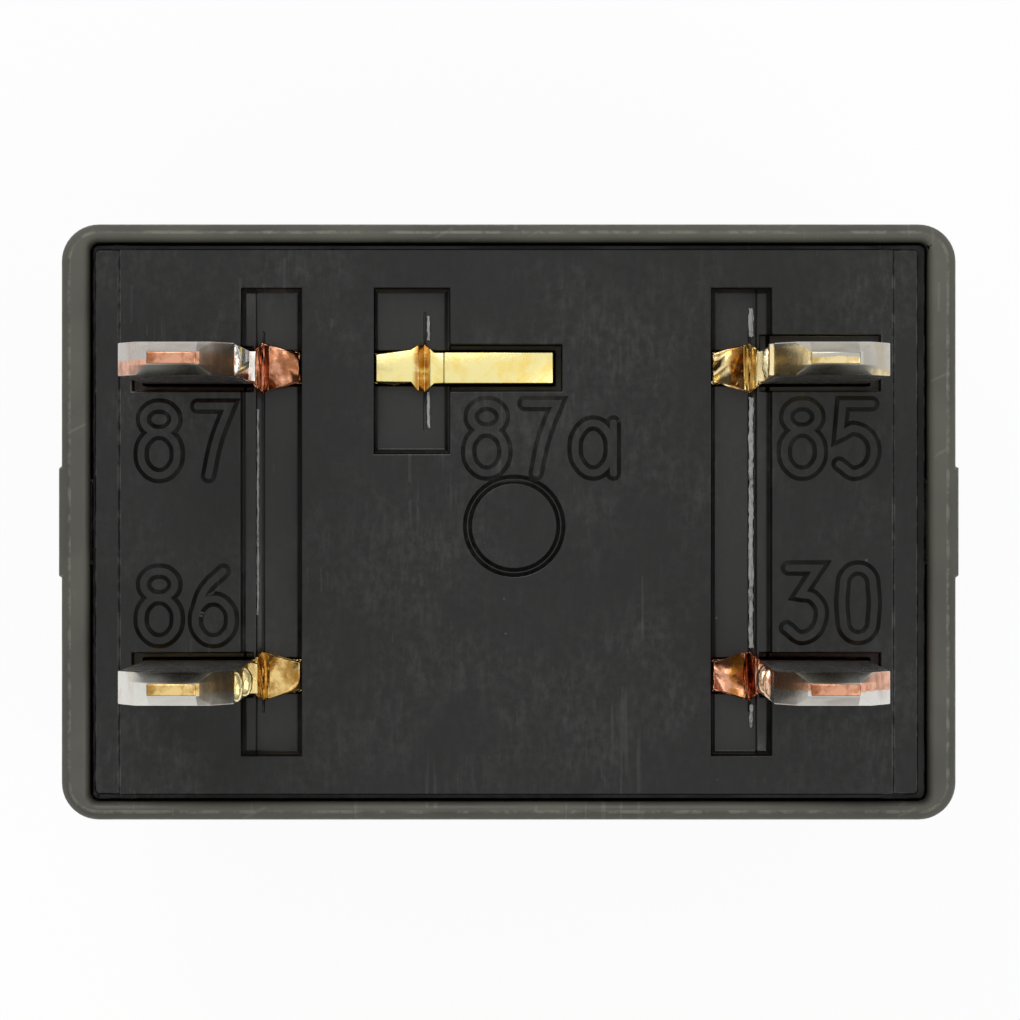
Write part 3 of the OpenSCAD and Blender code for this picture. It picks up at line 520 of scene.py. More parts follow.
# the recesses round the shoulders: how far their middle lies from the terminal's edge, and their half size
recess = {
    "terminal_85": dict(inward=0.475 * mm, middleY=0.0, halfX=0.775 * mm, halfY=6.0 * mm, mirrored=True),
    "terminal_87a": dict(inward=0.84 * mm, middleY=3.875 * mm, halfX=0.975 * mm, halfY=2.125 * mm, mirrored=False),
}
# the recess floors are painted paler with this colour, as painted light
recessFoot = dict(deep=0.15 * mm, width=0.15 * mm, rise=0.088 * mm, paleTone=(0.040, 0.040, 0.039), paleShare=0.3)


# how far a point is outside a recess, which is less than 0 on the floor of it
def beyondRecess(tree, point, name, settings):
    x, y, z = axesOf(tree, point)
    middle = 0.0
    if settings["mirrored"]:
        middle = (terminalAt["terminal_85"].x + terminalAt["terminal_87"].x) / 2
        x = absolute(tree, minus(tree, x, middle))
    centre = terminalAt[name].x - strip["width"] / 2 - middle - settings["inward"]
    beyondX = minus(tree, absolute(tree, minus(tree, x, centre)), settings["halfX"])
    beyondY = minus(tree, absolute(tree, minus(tree, y, settings["middleY"])), settings["halfY"])
    return larger(tree, beyondX, beyondY)


# the recess floors are painted a little paler as painted light, and turn up into the walls in a small slope
def recessRelief(tree, point, shade, height, distance):
    deep = isBelow(tree, axesOf(tree, point)[2], plateTop - recessFoot["deep"])
    walls = [beyondRecess(tree, point, name, settings) for name, settings in recess.items()]
    foot = mathNode(tree, "MINIMUM", *walls)
    slope = rampNode(tree, foot, -recessFoot["width"], 0.0, 0.0, recessFoot["rise"] / distance)
    paleFloor = times(tree, deep, isBelow(tree, foot, -recessFoot["width"]), recessFoot["paleShare"])
    return mixColour(tree, paleFloor, shade, recessFoot["paleTone"]), plus(tree, height, times(tree, slope, deep))


ridgeSheen = dict(pale=(0.32, 0.32, 0.31), dark=(0.03, 0.03, 0.028), blotch=0.3 * mm, blotches=(0.26, 0.50),
                fine=0.05 * mm, roughness=(0.35, 0.6), relief=0.01 * mm)


# plastic painted pale in blotches, as a highlight on the crushed ridges
def makeRidgeSheen():
    material, tree, shader = newMaterial("ridgeSheenPlastic", IOR=1.46)
    point = objectPoint(tree)
    pale = rampNode(tree, noiseNode(tree, point, ridgeSheen["blotch"], 4.0, 0.6), *ridgeSheen["blotches"])
    fine = noiseNode(tree, point, ridgeSheen["fine"], 3.0, 0.6)
    link(tree, mixColour(tree, pale, ridgeSheen["dark"], ridgeSheen["pale"]), shader.inputs["Base Color"])
    link(tree, rampNode(tree, fine, 0.3, 0.7, *ridgeSheen["roughness"]), shader.inputs["Roughness"])
    bumpInto(tree, shader, fine, ridgeSheen["relief"])
    return material


coverPlastic = makePlastic("coverPlastic", plastic["cover"])
basePlastic = makePlastic("basePlastic", plastic["base"], recessRelief)
bobbinPlastic = makePlastic("bobbinPlastic", plastic["bobbin"])


# metals

# split is how far out from the middle of the strip the plating starts on the cut edges: on the taper
# towards -X, on the end and on the taper towards +X; the three numbers after it are how much shade is
# painted on the tip on the same three
# burr is a lighter copy of the metal, painted on the burrs as a highlight
terminal = {
    "terminal_30": dict(bare=(0.80, 0.40, 0.25), dull=(0.34, 0.12, 0.05), plate=(0.68, 0.66, 0.62),
                        burr=(0.98, 0.64, 0.42), split=(0.02, 0.3, 0.05), painted=(0.55, 0.6, 0.05),
                        stain=0.25, scorch=0.45, dent=6.0),
    "terminal_85": dict(bare=(0.95, 0.76, 0.40), dull=(0.62, 0.42, 0.13), plate=(0.52, 0.50, 0.44),
                        burr=(1.0, 0.86, 0.52), split=(0.3, 0.02, -0.25), painted=(0.3, 0.6, 0.3),
                        stain=0.3, scorch=0.05, dent=6.0),
    "terminal_86": dict(bare=(0.92, 0.66, 0.27), dull=(0.40, 0.22, 0.05), plate=(0.66, 0.65, 0.60),
                        burr=(1.0, 0.84, 0.42), split=(-0.4, 0.3, 0.1), painted=(0.0, 0.25, 0.85),
                        stain=0.3, scorch=0.2, dent=6.0),
    "terminal_87": dict(bare=(0.80, 0.40, 0.26), dull=(0.36, 0.14, 0.06), plate=(0.50, 0.46, 0.43),
                        burr=(1.0, 0.96, 0.90), split=(-0.05, 0.3, 0.12), painted=(0.15, 0.3, 0.8),
                        stain=0.4, scorch=0.8, dent=6.0),
    "terminal_87a": dict(bare=(1.0, 0.88, 0.40), dull=(0.98, 0.76, 0.24), plate=(0.95, 0.80, 0.42),
                         burr=(1.0, 0.84, 0.42), split=(1.0, 1.0, 1.0), painted=(0.0, 0.0, 0.0),
                         stain=0.0, scorch=0.0, dent=1.0),
}
# what the punch leaves: where the shoulder ends and the end's land begins, and how its drag looks
punched = dict(shoulder=0.35 * mm, land=0.58 * mm, ragged=0.22 * mm, dragged=(-0.015 * mm, 0.025 * mm), face=0.6,
               burrBeyond=0.005 * mm, lines=(14000, 14000, 700), beaten=0.42 * mm, burnished=0.98, relief=0.004 * mm)
# painted shade on the tips and on the end's bevel that faces the middle, and the brown of the shoulder's notch
tipShadeAndNotch = dict(tip=(0.15, 0.12, 0.08), tipFrom=(9.3 * mm, 9.8 * mm), blotch=0.9 * mm, flatFace=0.97,
                 landX=0.66 * mm, landY=0.15 * mm, bevel=(0.055, 0.06, 0.045), bevelAt=(-0.19 * mm, -0.14 * mm),
                 bevelReach=(0.6 * mm, 1.2 * mm), notch=(0.45, 0.17, 0.02), notchAt=-1.98 * mm, notchReach=0.26 * mm)


# one number for each part of the tip: the taper towards -X, the end, and the taper towards +X
def byPart(tree, x, left, middle, right):
    toLeft = times(tree, isBelow(tree, x, -punched["land"]), left - middle)
    toRight = times(tree, isAbove(tree, x, punched["land"]), right - middle)
    return plus(tree, toLeft, toRight, middle)


def makeTerminalMetal(name, settings):
    material, tree, shader = newMaterial(name + "Metal", Metallic=1.0)
    point = objectPoint(tree, (terminalAt[name].x, terminalAt[name].y, plateTop))
    x, y, z = axesOf(tree, point)
    facing = axesOf(tree, addNode(tree, "ShaderNodeNewGeometry").outputs["True Normal"])
    facingX, facingY, facingZ = [absolute(tree, part) for part in facing]
    cloud = noiseNode(tree, point, 0.45 * mm, 5.0, 0.62)
    fine = noiseNode(tree, point, 0.07 * mm, 3.0, 0.6)
    outward = times(tree, y, math.copysign(1, terminalAt[name].y))
    aside = absolute(tree, x)
    above = isAbove(tree, z, punched["shoulder"])

    # the punch drags some of the plating over the cut edges, from the outer face inwards
    ragged = plus(tree, outward, times(tree, minus(tree, cloud, 0.5), punched["ragged"]))
    start = byPart(tree, x, *[value * mm for value in settings["split"]])
    drag = rampNode(tree, minus(tree, ragged, start), *punched["dragged"])
    burr = times(tree, above, isAbove(tree, aside, strip["width"] / 2 + punched["burrBeyond"]))
    plated = times(tree, larger(tree, isAbove(tree, facingY, punched["face"]), drag), above)
    bare = mixColour(tree, rampNode(tree, cloud, 0.42, 0.68), settings["bare"], settings["dull"])
    colour = mixColour(tree, larger(tree, plated, burr), bare, settings["plate"])
    tarnish = rampNode(tree, noiseNode(tree, point, 0.8 * mm, 4.0, 0.65), 0.48, 0.72)
    colour = mixColour(tree, times(tree, tarnish, settings["stain"]), colour, settings["dull"])
    scorched = times(tree, opposite(tree, above), rampNode(tree, cloud, 0.35, 0.6), settings["scorch"])
    colour = mixColour(tree, scorched, colour, settings["dull"])

    # shade is painted on the tip in blotches, but not on its land and not on the flat faces
    tip = times(tree, rampNode(tree, z, *tipShadeAndNotch["tipFrom"]), opposite(tree, burr),
                isBelow(tree, facingY, tipShadeAndNotch["flatFace"]))
    land = times(tree, isBelow(tree, absolute(tree, y), tipShadeAndNotch["landY"]), isBelow(tree, aside, tipShadeAndNotch["landX"]))
    shadeByPart = times(tree, byPart(tree, x, *settings["painted"]), opposite(tree, land))
    shadeBlotches = rampNode(tree, noiseNode(tree, point, tipShadeAndNotch["blotch"], 3.0, 0.5), 0.35, 0.65, 0.75, 1.1)
    tipShade = mathNode(tree, "MULTIPLY", times(tree, tip, shadeBlotches), shadeByPart, clamp=True)
    colour = mixColour(tree, tipShade, colour, tipShadeAndNotch["tip"])
    # the burrs are painted a lighter copy of the metal, as a painted highlight
    colour = mixColour(tree, burr, colour, settings["burr"])
    # the bevel of the end towards the middle of the relay gets a painted dark reflection of the base
    inward = times(tree, rampNode(tree, outward, *tipShadeAndNotch["bevelAt"], 0.85, 0.0),
                   rampNode(tree, aside, *tipShadeAndNotch["bevelReach"], 1.0, 0.0), tip)
    colour = mixColour(tree, inward, colour, tipShadeAndNotch["bevel"])
    # and the notch in the shoulder is browned
    fromNotch = absolute(tree, minus(tree, x, tipShadeAndNotch["notchAt"]))
    notch = times(tree, rampNode(tree, fromNotch, tipShadeAndNotch["notchReach"] * 0.4, tipShadeAndNotch["notchReach"], 0.85, 0.0),
                  opposite(tree, above), rampNode(tree, cloud, 0.3, 0.55))
    link(tree, mixColour(tree, notch, colour, tipShadeAndNotch["notch"]), shader.inputs["Base Color"])
    rough = plus(tree, times(tree, cloud, 0.16), times(tree, larger(tree, tarnish, tipShade), 0.12), 0.14)
    link(tree, rough, shader.inputs["Roughness"])

    # upright drag lines from the punch, and a beaten surface where the staking tool struck
    lines = times(tree, drawnNoise(tree, point, punched["lines"], 2.0, 0.5), opposite(tree, facingZ))
    burnished = times(tree, isAbove(tree, facingX, punched["burnished"]), 0.8)
    height = times(tree, plus(tree, lines, fine), opposite(tree, burnished), opposite(tree, times(tree, tip, 0.6)))
    beaten = times(tree, noiseNode(tree, point, punched["beaten"], 2.0, 0.5), opposite(tree, above), settings["dent"])
    bumpInto(tree, shader, plus(tree, height, beaten), punched["relief"])
    return material


terminalMetal = {name: makeTerminalMetal(name, settings) for name, settings in terminal.items()}

innerMetal = {
    "contact_silver": dict(colour=(0.86, 0.85, 0.82), dull=(0.45, 0.43, 0.40), roughness=0.34, grain=0.003),
    "spring_bronze": dict(colour=(0.74, 0.42, 0.24), dull=(0.42, 0.22, 0.12), roughness=0.28, grain=0.0015),
    "plated_iron": dict(colour=(0.62, 0.61, 0.55), dull=(0.36, 0.35, 0.30), roughness=0.36, grain=0.003),
    "rivet_steel": dict(colour=(0.58, 0.57, 0.55), dull=(0.30, 0.29, 0.28), roughness=0.30, grain=0.002),
    "solder": dict(colour=(0.76, 0.76, 0.76), dull=(0.50, 0.50, 0.49), roughness=0.24, grain=0.004),
}


def makeInnerMetal(name, settings):
    material, tree, shader = newMaterial(name, Metallic=1.0)
    point = objectPoint(tree)
    cloud = noiseNode(tree, point, 1.1 * mm, 5.0, 0.6)
    shade = mixColour(tree, rampNode(tree, cloud, 0.42, 0.7), settings["colour"], settings["dull"])
    rough = rampNode(tree, cloud, 0.3, 0.7, settings["roughness"] - 0.06, settings["roughness"] + 0.12)
    link(tree, shade, shader.inputs["Base Color"])
    link(tree, rough, shader.inputs["Roughness"])
    bumpInto(tree, shader, noiseNode(tree, point, 0.06 * mm, 3.0, 0.6), settings["grain"] * mm)
    return material


wire = dict(pitch=0.11 * mm, relief=0.018 * mm, shadow=(0.24, 0.065, 0.02), crest=(0.56, 0.20, 0.07),
            dull=(0.40, 0.14, 0.05))


# enamelled copper in close turns round an upright core,
# with a painted shadow between the turns and a painted highlight on their crests
def makeWire():
    material, tree, shader = newMaterial("enamelled_wire", Metallic=0.85, Coat_Weight=0.6, Coat_Roughness=0.12)
    point = objectPoint(tree)
    turns = mathNode(tree, "SINE", times(tree, axesOf(tree, point)[2], 2 * math.pi / wire["pitch"]))
    cloud = noiseNode(tree, point, 0.8 * mm, 4.0, 0.6)
    shade = mixColour(tree, rampNode(tree, turns, -1.0, 0.6), wire["shadow"], wire["crest"])
    link(tree, mixColour(tree, rampNode(tree, cloud, 0.4, 0.7), shade, wire["dull"]), shader.inputs["Base Color"])
    link(tree, rampNode(tree, cloud, 0.3, 0.7, 0.26, 0.38), shader.inputs["Roughness"])
    bumpInto(tree, shader, turns, wire["relief"])
    return material


tape = dict(pale=(0.62, 0.42, 0.10), dull=(0.50, 0.31, 0.06), weave=0.08 * mm, relief=0.004 * mm)


def makeTape():
    material, tree, shader = newMaterial("tape", IOR=1.46)
    point = objectPoint(tree)
    cloud = noiseNode(tree, point, 0.9 * mm, 4.0, 0.6)
    shade = mixColour(tree, rampNode(tree, cloud, 0.35, 0.7), tape["pale"], tape["dull"])
    link(tree, shade, shader.inputs["Base Color"])
    link(tree, rampNode(tree, cloud, 0.3, 0.7, 0.22, 0.4), shader.inputs["Roughness"])
    bumpInto(tree, shader, noiseNode(tree, point, tape["weave"], 2.0), tape["relief"])
    return material


# where along X each colour ring of the resistor is, and its colour
lacquerRing = [(-1.1 * mm, (0.28, 0.12, 0.05)), (-0.45 * mm, (0.05, 0.05, 0.05)),
               (0.2 * mm, (0.45, 0.06, 0.03)), (1.1 * mm, (0.65, 0.42, 0.10))]
lacquer = dict(pale=(0.42, 0.60, 0.66), deep=(0.36, 0.53, 0.60), halfRing=0.17 * mm, relief=0.006 * mm)


def makeLacquer():
    material, tree, shader = newMaterial("resistor_lacquer", IOR=1.5)
    point = objectPoint(tree)
    x = axesOf(tree, point)[0]
    cloud = noiseNode(tree, point, 0.4 * mm, 3.0)
    colour = mixColour(tree, cloud, lacquer["pale"], lacquer["deep"])
    for place, ring in lacquerRing:
        away = absolute(tree, minus(tree, x, place))
        colour = mixColour(tree, isBelow(tree, away, lacquer["halfRing"]), colour, ring)
    link(tree, colour, shader.inputs["Base Color"])
    link(tree, rampNode(tree, cloud, 0.3, 0.7, 0.2, 0.3), shader.inputs["Roughness"])
    bumpInto(tree, shader, noiseNode(tree, point, 0.25 * mm, 2.0), lacquer["relief"])
    return material


slotMaterial = {name: makeInnerMetal(name, settings) for name, settings in innerMetal.items()}
slotMaterial.update({
    "cover_plastic": coverPlastic,
    "base_plastic": basePlastic,
    "bobbin_plastic": bobbinPlastic,
    "plated_copper": terminalMetal["terminal_87"],
    "plated_brass": terminalMetal["terminal_86"],
    "enamelled_wire": makeWire(),
    "tape": makeTape(),
    "resistor_lacquer": makeLacquer(),
})
slotOfNode = {part["node"]: part["material_slot"] for part in frame["record"]["subparts"]}
for name, node in frame["nodes"].items():
    node.data.materials.clear()
    node.data.materials.append(terminalMetal.get(name) or slotMaterial[slotOfNode[name]])
print("materials made")


# cover, base and terminals get the small rounded edges that they leave their tools with

coverEdge = dict(soft=0.05 * mm, crown=0.18 * mm, padOut=0.08 * mm, insetX=0.6 * mm, insetY=0.35 * mm)


def makeCoverShell():
    shell = copyOfNode("cover", "coverShell")
    insideX = coverHigh.x - coverEdge["padOut"] - coverEdge["insetX"]
    insideY = coverHigh.y - coverEdge["insetY"]

    def onInnerRim(first, second):
        return all(abs(end.z - coverHigh.z) < 0.01 * mm and abs(end.x) < insideX and abs(end.y) < insideY
                   for end in (first, second))

    count = selectSharpEdges(shell, onInnerRim, 40)
    bevelEdges(coverEdge["crown"], 4)
    print("inner edge of the rim rounded:", count)
    softenEdges(shell, coverEdge["soft"], 30)
    weighNormals(shell)
    finishPiece(shell, "housing", coverPlastic, ["cover"])


makeCoverShell()

baseEdge = dict(soft=0.04 * mm, ring=0.085 * mm, ringReach=1.4 * mm, ringDeep=(1 * mm, 0.02 * mm))
ringAt = Vector((0.14 * mm, -0.1 * mm, 0))


def makeBaseMoulding():
    moulding = copyOfNode("base", "baseMoulding")
    deep, shallow = baseEdge["ringDeep"]

    def onRing(first, second):
        return all(deep > plateTop - end.z > shallow and (end - ringAt).xy.length < baseEdge["ringReach"]
                   for end in (first, second))

    count = selectSharpEdges(moulding, onRing, 50, footEdges(moulding))
    bevelEdges(baseEdge["ring"])
    print("feet of the round mark sloped:", count)
    softenEdges(moulding, baseEdge["soft"], 50)
    weighNormals(moulding)
    finishPiece(moulding, "housing", basePlastic, ["base"])


makeBaseMoulding()

struck = dict(soft=0.03 * mm, low=0.6 * mm, high=0.05 * mm, reach=2 * mm, half=0.8 * mm, upward=0.3,
              dent=0.045 * mm, cuts=1)
stub = dict(narrowAt=2.24 * mm, narrow=0.76)
# burrs left on a blade's inner edge: kind, height above the plate, reach and half height, in mm
burr = {
    "terminal_30": [("lump", 3.2, 0.20, 0.24), ("lump", 6.6, 0.16, 0.12), ("bar", 1.7, 0.08, 0.06)],
    "terminal_85": [("bar", 9.3, 0.10, 0.06), ("lump", 5.4, 0.14, 0.12), ("bar", 1.9, 0.15, 0.08)],
    "terminal_86": [("lump", 8.9, 0.20, 0.20), ("lump", 5.0, 0.24, 0.20), ("bar", 1.8, 0.20, 0.10)],
    "terminal_87": [("lump", 9.25, 0.15, 0.10), ("bar", 1.95, 0.16, 0.08)],
    "terminal_87a": [],
}


# the staking tool leaves the shoulders beaten into small facets
def beatShoulder(piece, name, seed):
    at = terminalAt[name]
    outside = strip["width"] / 2 - 0.02 * mm

    def onShoulder(centre, normal):
        return plateTop - struck["low"] < centre.z < plateTop + struck["high"] and normal.z > struck["upward"] \
            and outside < abs(centre.x - at.x) < outside + struck["reach"] and abs(centre.y - at.y) < struck["half"]

    pickOnly(piece)
    selectFaces(piece, onShoulder)
    bpy.ops.mesh.quads_convert_to_tris()
    bpy.ops.mesh.subdivide(number_cuts=struck["cuts"])
    bpy.ops.transform.vertex_random(offset=struck["dent"], uniform=0.2, normal=0.3, seed=seed)
    bpy.ops.object.mode_set(mode="OBJECT")


# the flush-cut terminal is narrow up to its notch, and its end is a little round
def narrowStub(piece):
    at = terminalAt["terminal_87a"]
    x = at.x - stub["narrowAt"]
    editAll(piece)
    bpy.ops.mesh.bisect(plane_co=(x, 0, 0), plane_no=(1, 0, 0))
    bpy.ops.object.mode_set(mode="OBJECT")
    for point in piece.data.vertices:
        point.select = abs(point.co.x - x) < 0.005 * mm and point.co.z > plateTop - struck["low"]
    bpy.ops.object.mode_set(mode="EDIT")
    bpy.ops.transform.resize(value=(1, stub["narrow"], 1), center_override=(x, at.y, plateTop))
    bpy.ops.object.mode_set(mode="OBJECT")


burrShape = dict(lumpHalf=0.36 * mm, barHalf=0.37 * mm, cuts=4, ragged=0.02 * mm)


def makeBurr(name, kind, height, reach, half, seed):
    at = terminalAt[name]
    place = (at.x - math.copysign(strip["width"] / 2, at.x), at.y, plateTop + height * mm)
    deselectAll()
    if kind == "lump":
        bpy.ops.mesh.primitive_uv_sphere_add(segments=24, ring_count=14, radius=1, location=place)
    else:
        bpy.ops.mesh.primitive_cube_add(size=2, location=place)
    piece = bpy.context.object
    piece.scale = (reach * mm, burrShape[kind + "Half"], half * mm)
    placeInMesh(piece)
    editAll(piece)
    if kind == "bar":
        bpy.ops.mesh.subdivide(number_cuts=burrShape["cuts"])
    bpy.ops.transform.vertex_random(offset=burrShape["ragged"], uniform=0.3, normal=0, seed=seed)
    bpy.ops.object.mode_set(mode="OBJECT")
    bpy.ops.object.shade_smooth_by_angle(angle=math.radians(60 if kind == "lump" else 30))
    return piece


for seed, name in enumerate(terminal):
    blade = copyOfNode(name, "softTerminal")
    softenEdges(blade, struck["soft"], 12)
    if name == "terminal_87a":
        narrowStub(blade)
    else:
        beatShoulder(blade, name, seed + 3)
    burrs = [makeBurr(name, *settings, seed + 11) for settings in burr[name]]
    blade = joined([blade, *burrs], name.replace("terminal_", "stampedTerminal"))
    finishPiece(blade, "housing", terminalMetal[name], [name])
print("terminals made")


# plastic crushed up along the grooves by the staking tool, and painted pale there as a highlight
crushed = dict(thick=0.04 * mm, tall=0.06 * mm, across=5, step=0.09 * mm, ragged=0.045 * mm, floor=0.52 * mm,
               crest=0.3)
# terminal beside it, from its edge to the line, low and high end, width, seed
crushedRuns = [
    ("terminal_85", -0.21 * mm, 4.75 * mm, 5.5 * mm, 0.11 * mm, 1),
    ("terminal_85", -0.21 * mm, -3.25 * mm, 3.2 * mm, 0.12 * mm, 2),
    ("terminal_85", -0.21 * mm, -5.3 * mm, -4.7 * mm, 0.08 * mm, 3),
    ("terminal_87", 2.91 * mm, -2.4 * mm, 2.9 * mm, 0.055 * mm, 6),
    ("terminal_87a", -0.40 * mm, 4.65 * mm, 5.3 * mm, 0.07 * mm, 4),
    ("terminal_87a", -0.40 * mm, 2.4 * mm, 3.35 * mm, 0.07 * mm, 5),
]


def makeCrushedRun(name, aside, low, high, wide, seed):
    x = terminalAt[name].x - strip["width"] / 2 + aside
    floor = plateTop - crushed["floor"]
    rows = max(4, int((high - low) / crushed["step"]))
    deselectAll()
    bpy.ops.mesh.primitive_grid_add(x_subdivisions=crushed["across"], y_subdivisions=rows, size=1,
                                    location=(x, (low + high) / 2, floor))
    run = bpy.context.object
    run.scale = (wide, high - low, 1)
    placeInMesh(run)
    editAll(run)
    bpy.ops.mesh.extrude_region_move(TRANSFORM_OT_translate={"value": (0, 0, crushed["thick"])})
    bpy.ops.object.mode_set(mode="OBJECT")
    for point in run.data.vertices:
        point.select = point.co.z > floor + 0.75 * crushed["thick"] and abs(point.co.x - x) < crushed["crest"] * wide
    bpy.ops.object.mode_set(mode="EDIT")
    bpy.ops.mesh.select_mode(type="VERT")
    bpy.ops.transform.translate(value=(0, 0, crushed["tall"]))
    bpy.ops.mesh.select_all(action="SELECT")
    bpy.ops.transform.vertex_random(offset=min(crushed["ragged"], wide * 0.45), uniform=0.3, normal=0, seed=seed)
    bpy.ops.mesh.vertices_smooth(factor=0.4, repeat=1)
    bpy.ops.mesh.normals_make_consistent(inside=False)
    bpy.ops.object.mode_set(mode="OBJECT")
    return run


runs = joined([makeCrushedRun(*run) for run in crushedRuns], "crushedPlastic")
bpy.ops.object.shade_smooth_by_angle(angle=math.radians(50))
finishPiece(runs, "housing", makeRidgeSheen())
print("crushed plastic made")


# the spring leaf bends round the end of the yoke as the armature swings: how far above, below and inward of
# the hinge it does so, and in how many cuts
leaf = dict(soft=0.04 * mm, above=1.6 * mm, below=-2.2 * mm, inward=-1.1 * mm, cuts=9)


def makeBendingLeaf():
    piece = copyOfNode("contact_leaf", "bendingLeaf")
    hinge = Vector(frame["record"]["behaviour"]["joints"][0]["pos_m"])
    for index in range(leaf["cuts"]):
        share = index / (leaf["cuts"] - 1)
        for place, normal in (((0, 0, hinge.z + share * leaf["above"]), (0, 0, 1)),
                              ((hinge.x + 2 * share * leaf["inward"], 0, 0), (1, 0, 0))):
            editAll(piece)
            bpy.ops.mesh.bisect(plane_co=place, plane_no=normal)
            bpy.ops.object.mode_set(mode="OBJECT")
    softenEdges(piece, leaf["soft"], 50)
    finishPiece(piece, None, slotMaterial["spring_bronze"], ["contact_leaf"])
    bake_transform(piece)


makeBendingLeaf()
print("spring leaf made")


# raised numerals beside the terminals

# sizes of a stroke in mm; rings are a hair higher than lines and round ends a hair lower, so that the tops of
# two strokes never share a plane
numeral = dict(tall=1.78, pitch=1.39 * mm, foot=0.20, top=0.088, height=0.11, sink=0.03, endDrop=0.006,
               ringRise=0.003)
# strokes in a box that is 1 tall; a ring is centre and radii, a line is points, and a corner point has True
glyph = {
    "8": [("ring", (0, 0.81), (0.225, 0.19)), ("ring", (0, 0.31), (0.26, 0.31))],
    "7": [("line", [(-0.23, 1, True), (0.23, 1, True), (0.04, 0.5, False), (-0.07, 0, True)])],
    "6": [("ring", (0, 0.30), (0.26, 0.30)), ("line", [(0.14, 1, True), (-0.13, 0.72, False), (-0.255, 0.36, False)])],
    "5": [("line", [(0.22, 1, True), (-0.2, 1, True), (-0.24, 0.55, True), (0.0, 0.64, False), (0.25, 0.34, False),
                    (0.0, 0, False), (-0.25, 0.13, True)])],
    "3": [("line", [(-0.22, 1, True), (0.20, 1, True), (-0.05, 0.62, True), (0.13, 0.58, False), (0.25, 0.31, False),
                    (0.0, 0, False), (-0.25, 0.14, True)])],
    "0": [("loop", [(0, 1), (-0.17, 0.91), (-0.22, 0.7), (-0.22, 0.3), (-0.17, 0.09),
                    (0, 0), (0.17, 0.09), (0.22, 0.3), (0.22, 0.7), (0.17, 0.91)])],
    "a": [("ring", (-0.03, 0.36), (0.26, 0.36)), ("line", [(0.26, 0.72, True), (0.26, 0.0, True)])],
}
# from the middle of the terminal to the middle of its number
label = {
    "87": (-0.30 * mm, -1.87 * mm),
    "86": (-0.30 * mm, 1.80 * mm),
    "85": (0.38 * mm, -1.81 * mm),
    "30": (0.42 * mm, 1.88 * mm),
    "87a": (1.09 * mm, -2.03 * mm),
}


def makeRidgeProfile():
    foot, top, height, sink = numeral["foot"], numeral["top"], numeral["height"], numeral["sink"]
    bpy.ops.curve.primitive_bezier_circle_add(radius=foot)
    profile = bpy.context.object
    profile.name = "ridgeProfile"
    profile.data.dimensions = "2D"
    profile.data.splines.clear()
    spline = profile.data.splines.new("POLY")
    corners = [(-foot, -sink), (-foot, 0), (-top, height), (top, height), (foot, 0), (foot, -sink)]
    spline.points.add(len(corners) - 1)
    for point, (x, y) in zip(spline.points, corners):
        point.co = (x, y, 0, 1)
    spline.use_cyclic_u = True
    return profile


def strokeCurve(points, closed, profile):
    bpy.ops.curve.primitive_bezier_curve_add()
    stroke = bpy.context.object
    stroke.data.dimensions = "2D"
    stroke.data.splines.clear()
    spline = stroke.data.splines.new("BEZIER")
    spline.bezier_points.add(len(points) - 1)
    for point, (x, y, corner) in zip(spline.bezier_points, points):
        point.co = (x * numeral["tall"], y * numeral["tall"], 0)
        point.handle_left_type = point.handle_right_type = "VECTOR" if corner else "AUTO"
    spline.use_cyclic_u = closed
    spline.resolution_u = 10
    stroke.data.bevel_mode = "OBJECT"
    stroke.data.bevel_object = profile
    stroke.data.use_fill_caps = True
    pickOnly(stroke)
    bpy.ops.object.convert(target="MESH")
    return bpy.context.object


def roundEnd(x, y):
    tall = numeral["height"] + numeral["sink"] - numeral["endDrop"]
    slope = (numeral["foot"] - numeral["top"]) / numeral["height"]
    widest = (numeral["foot"] + slope * numeral["sink"]) * 1.01   # a little past the stroke's side
    bpy.ops.mesh.primitive_cone_add(vertices=32, radius1=widest, radius2=numeral["top"], depth=tall,
                                    location=(x * numeral["tall"], y * numeral["tall"], tall / 2 - numeral["sink"]))
    placeInMesh(bpy.context.object)
    return bpy.context.object


def makeRing(centre, radii, profile):
    turns = [k * math.pi / 4 for k in range(8)]
    around = [(centre[0] + radii[0] * math.cos(turn), centre[1] + radii[1] * math.sin(turn), False) for turn in turns]
    ring = strokeCurve(around, True, profile)
    ring.location.z = numeral["ringRise"]
    placeInMesh(ring)
    return ring


def makeGlyph(sign, profile):
    parts = []
    for kind, *shape in glyph[sign]:
        if kind == "loop":
            parts.append(strokeCurve([(x, y, False) for x, y in shape[0]], True, profile))
        elif kind == "ring":
            parts.append(makeRing(*shape, profile))
        else:
            parts.append(strokeCurve(shape[0], False, profile))
            parts += [roundEnd(x, y) for x, y, corner in shape[0] if corner]
    piece = joined(parts, "sign" + sign)
    editAll(piece)
    bpy.ops.mesh.normals_make_consistent(inside=False)
    bpy.ops.mesh.intersect_boolean(operation="UNION", use_self=True, solver="EXACT")
    bpy.ops.mesh.select_all(action="SELECT")
    bpy.ops.mesh.remove_doubles(threshold=0.001)
    bpy.ops.object.mode_set(mode="OBJECT")
    piece.scale = (mm, mm, mm)
    placeInMesh(piece)
    return piece


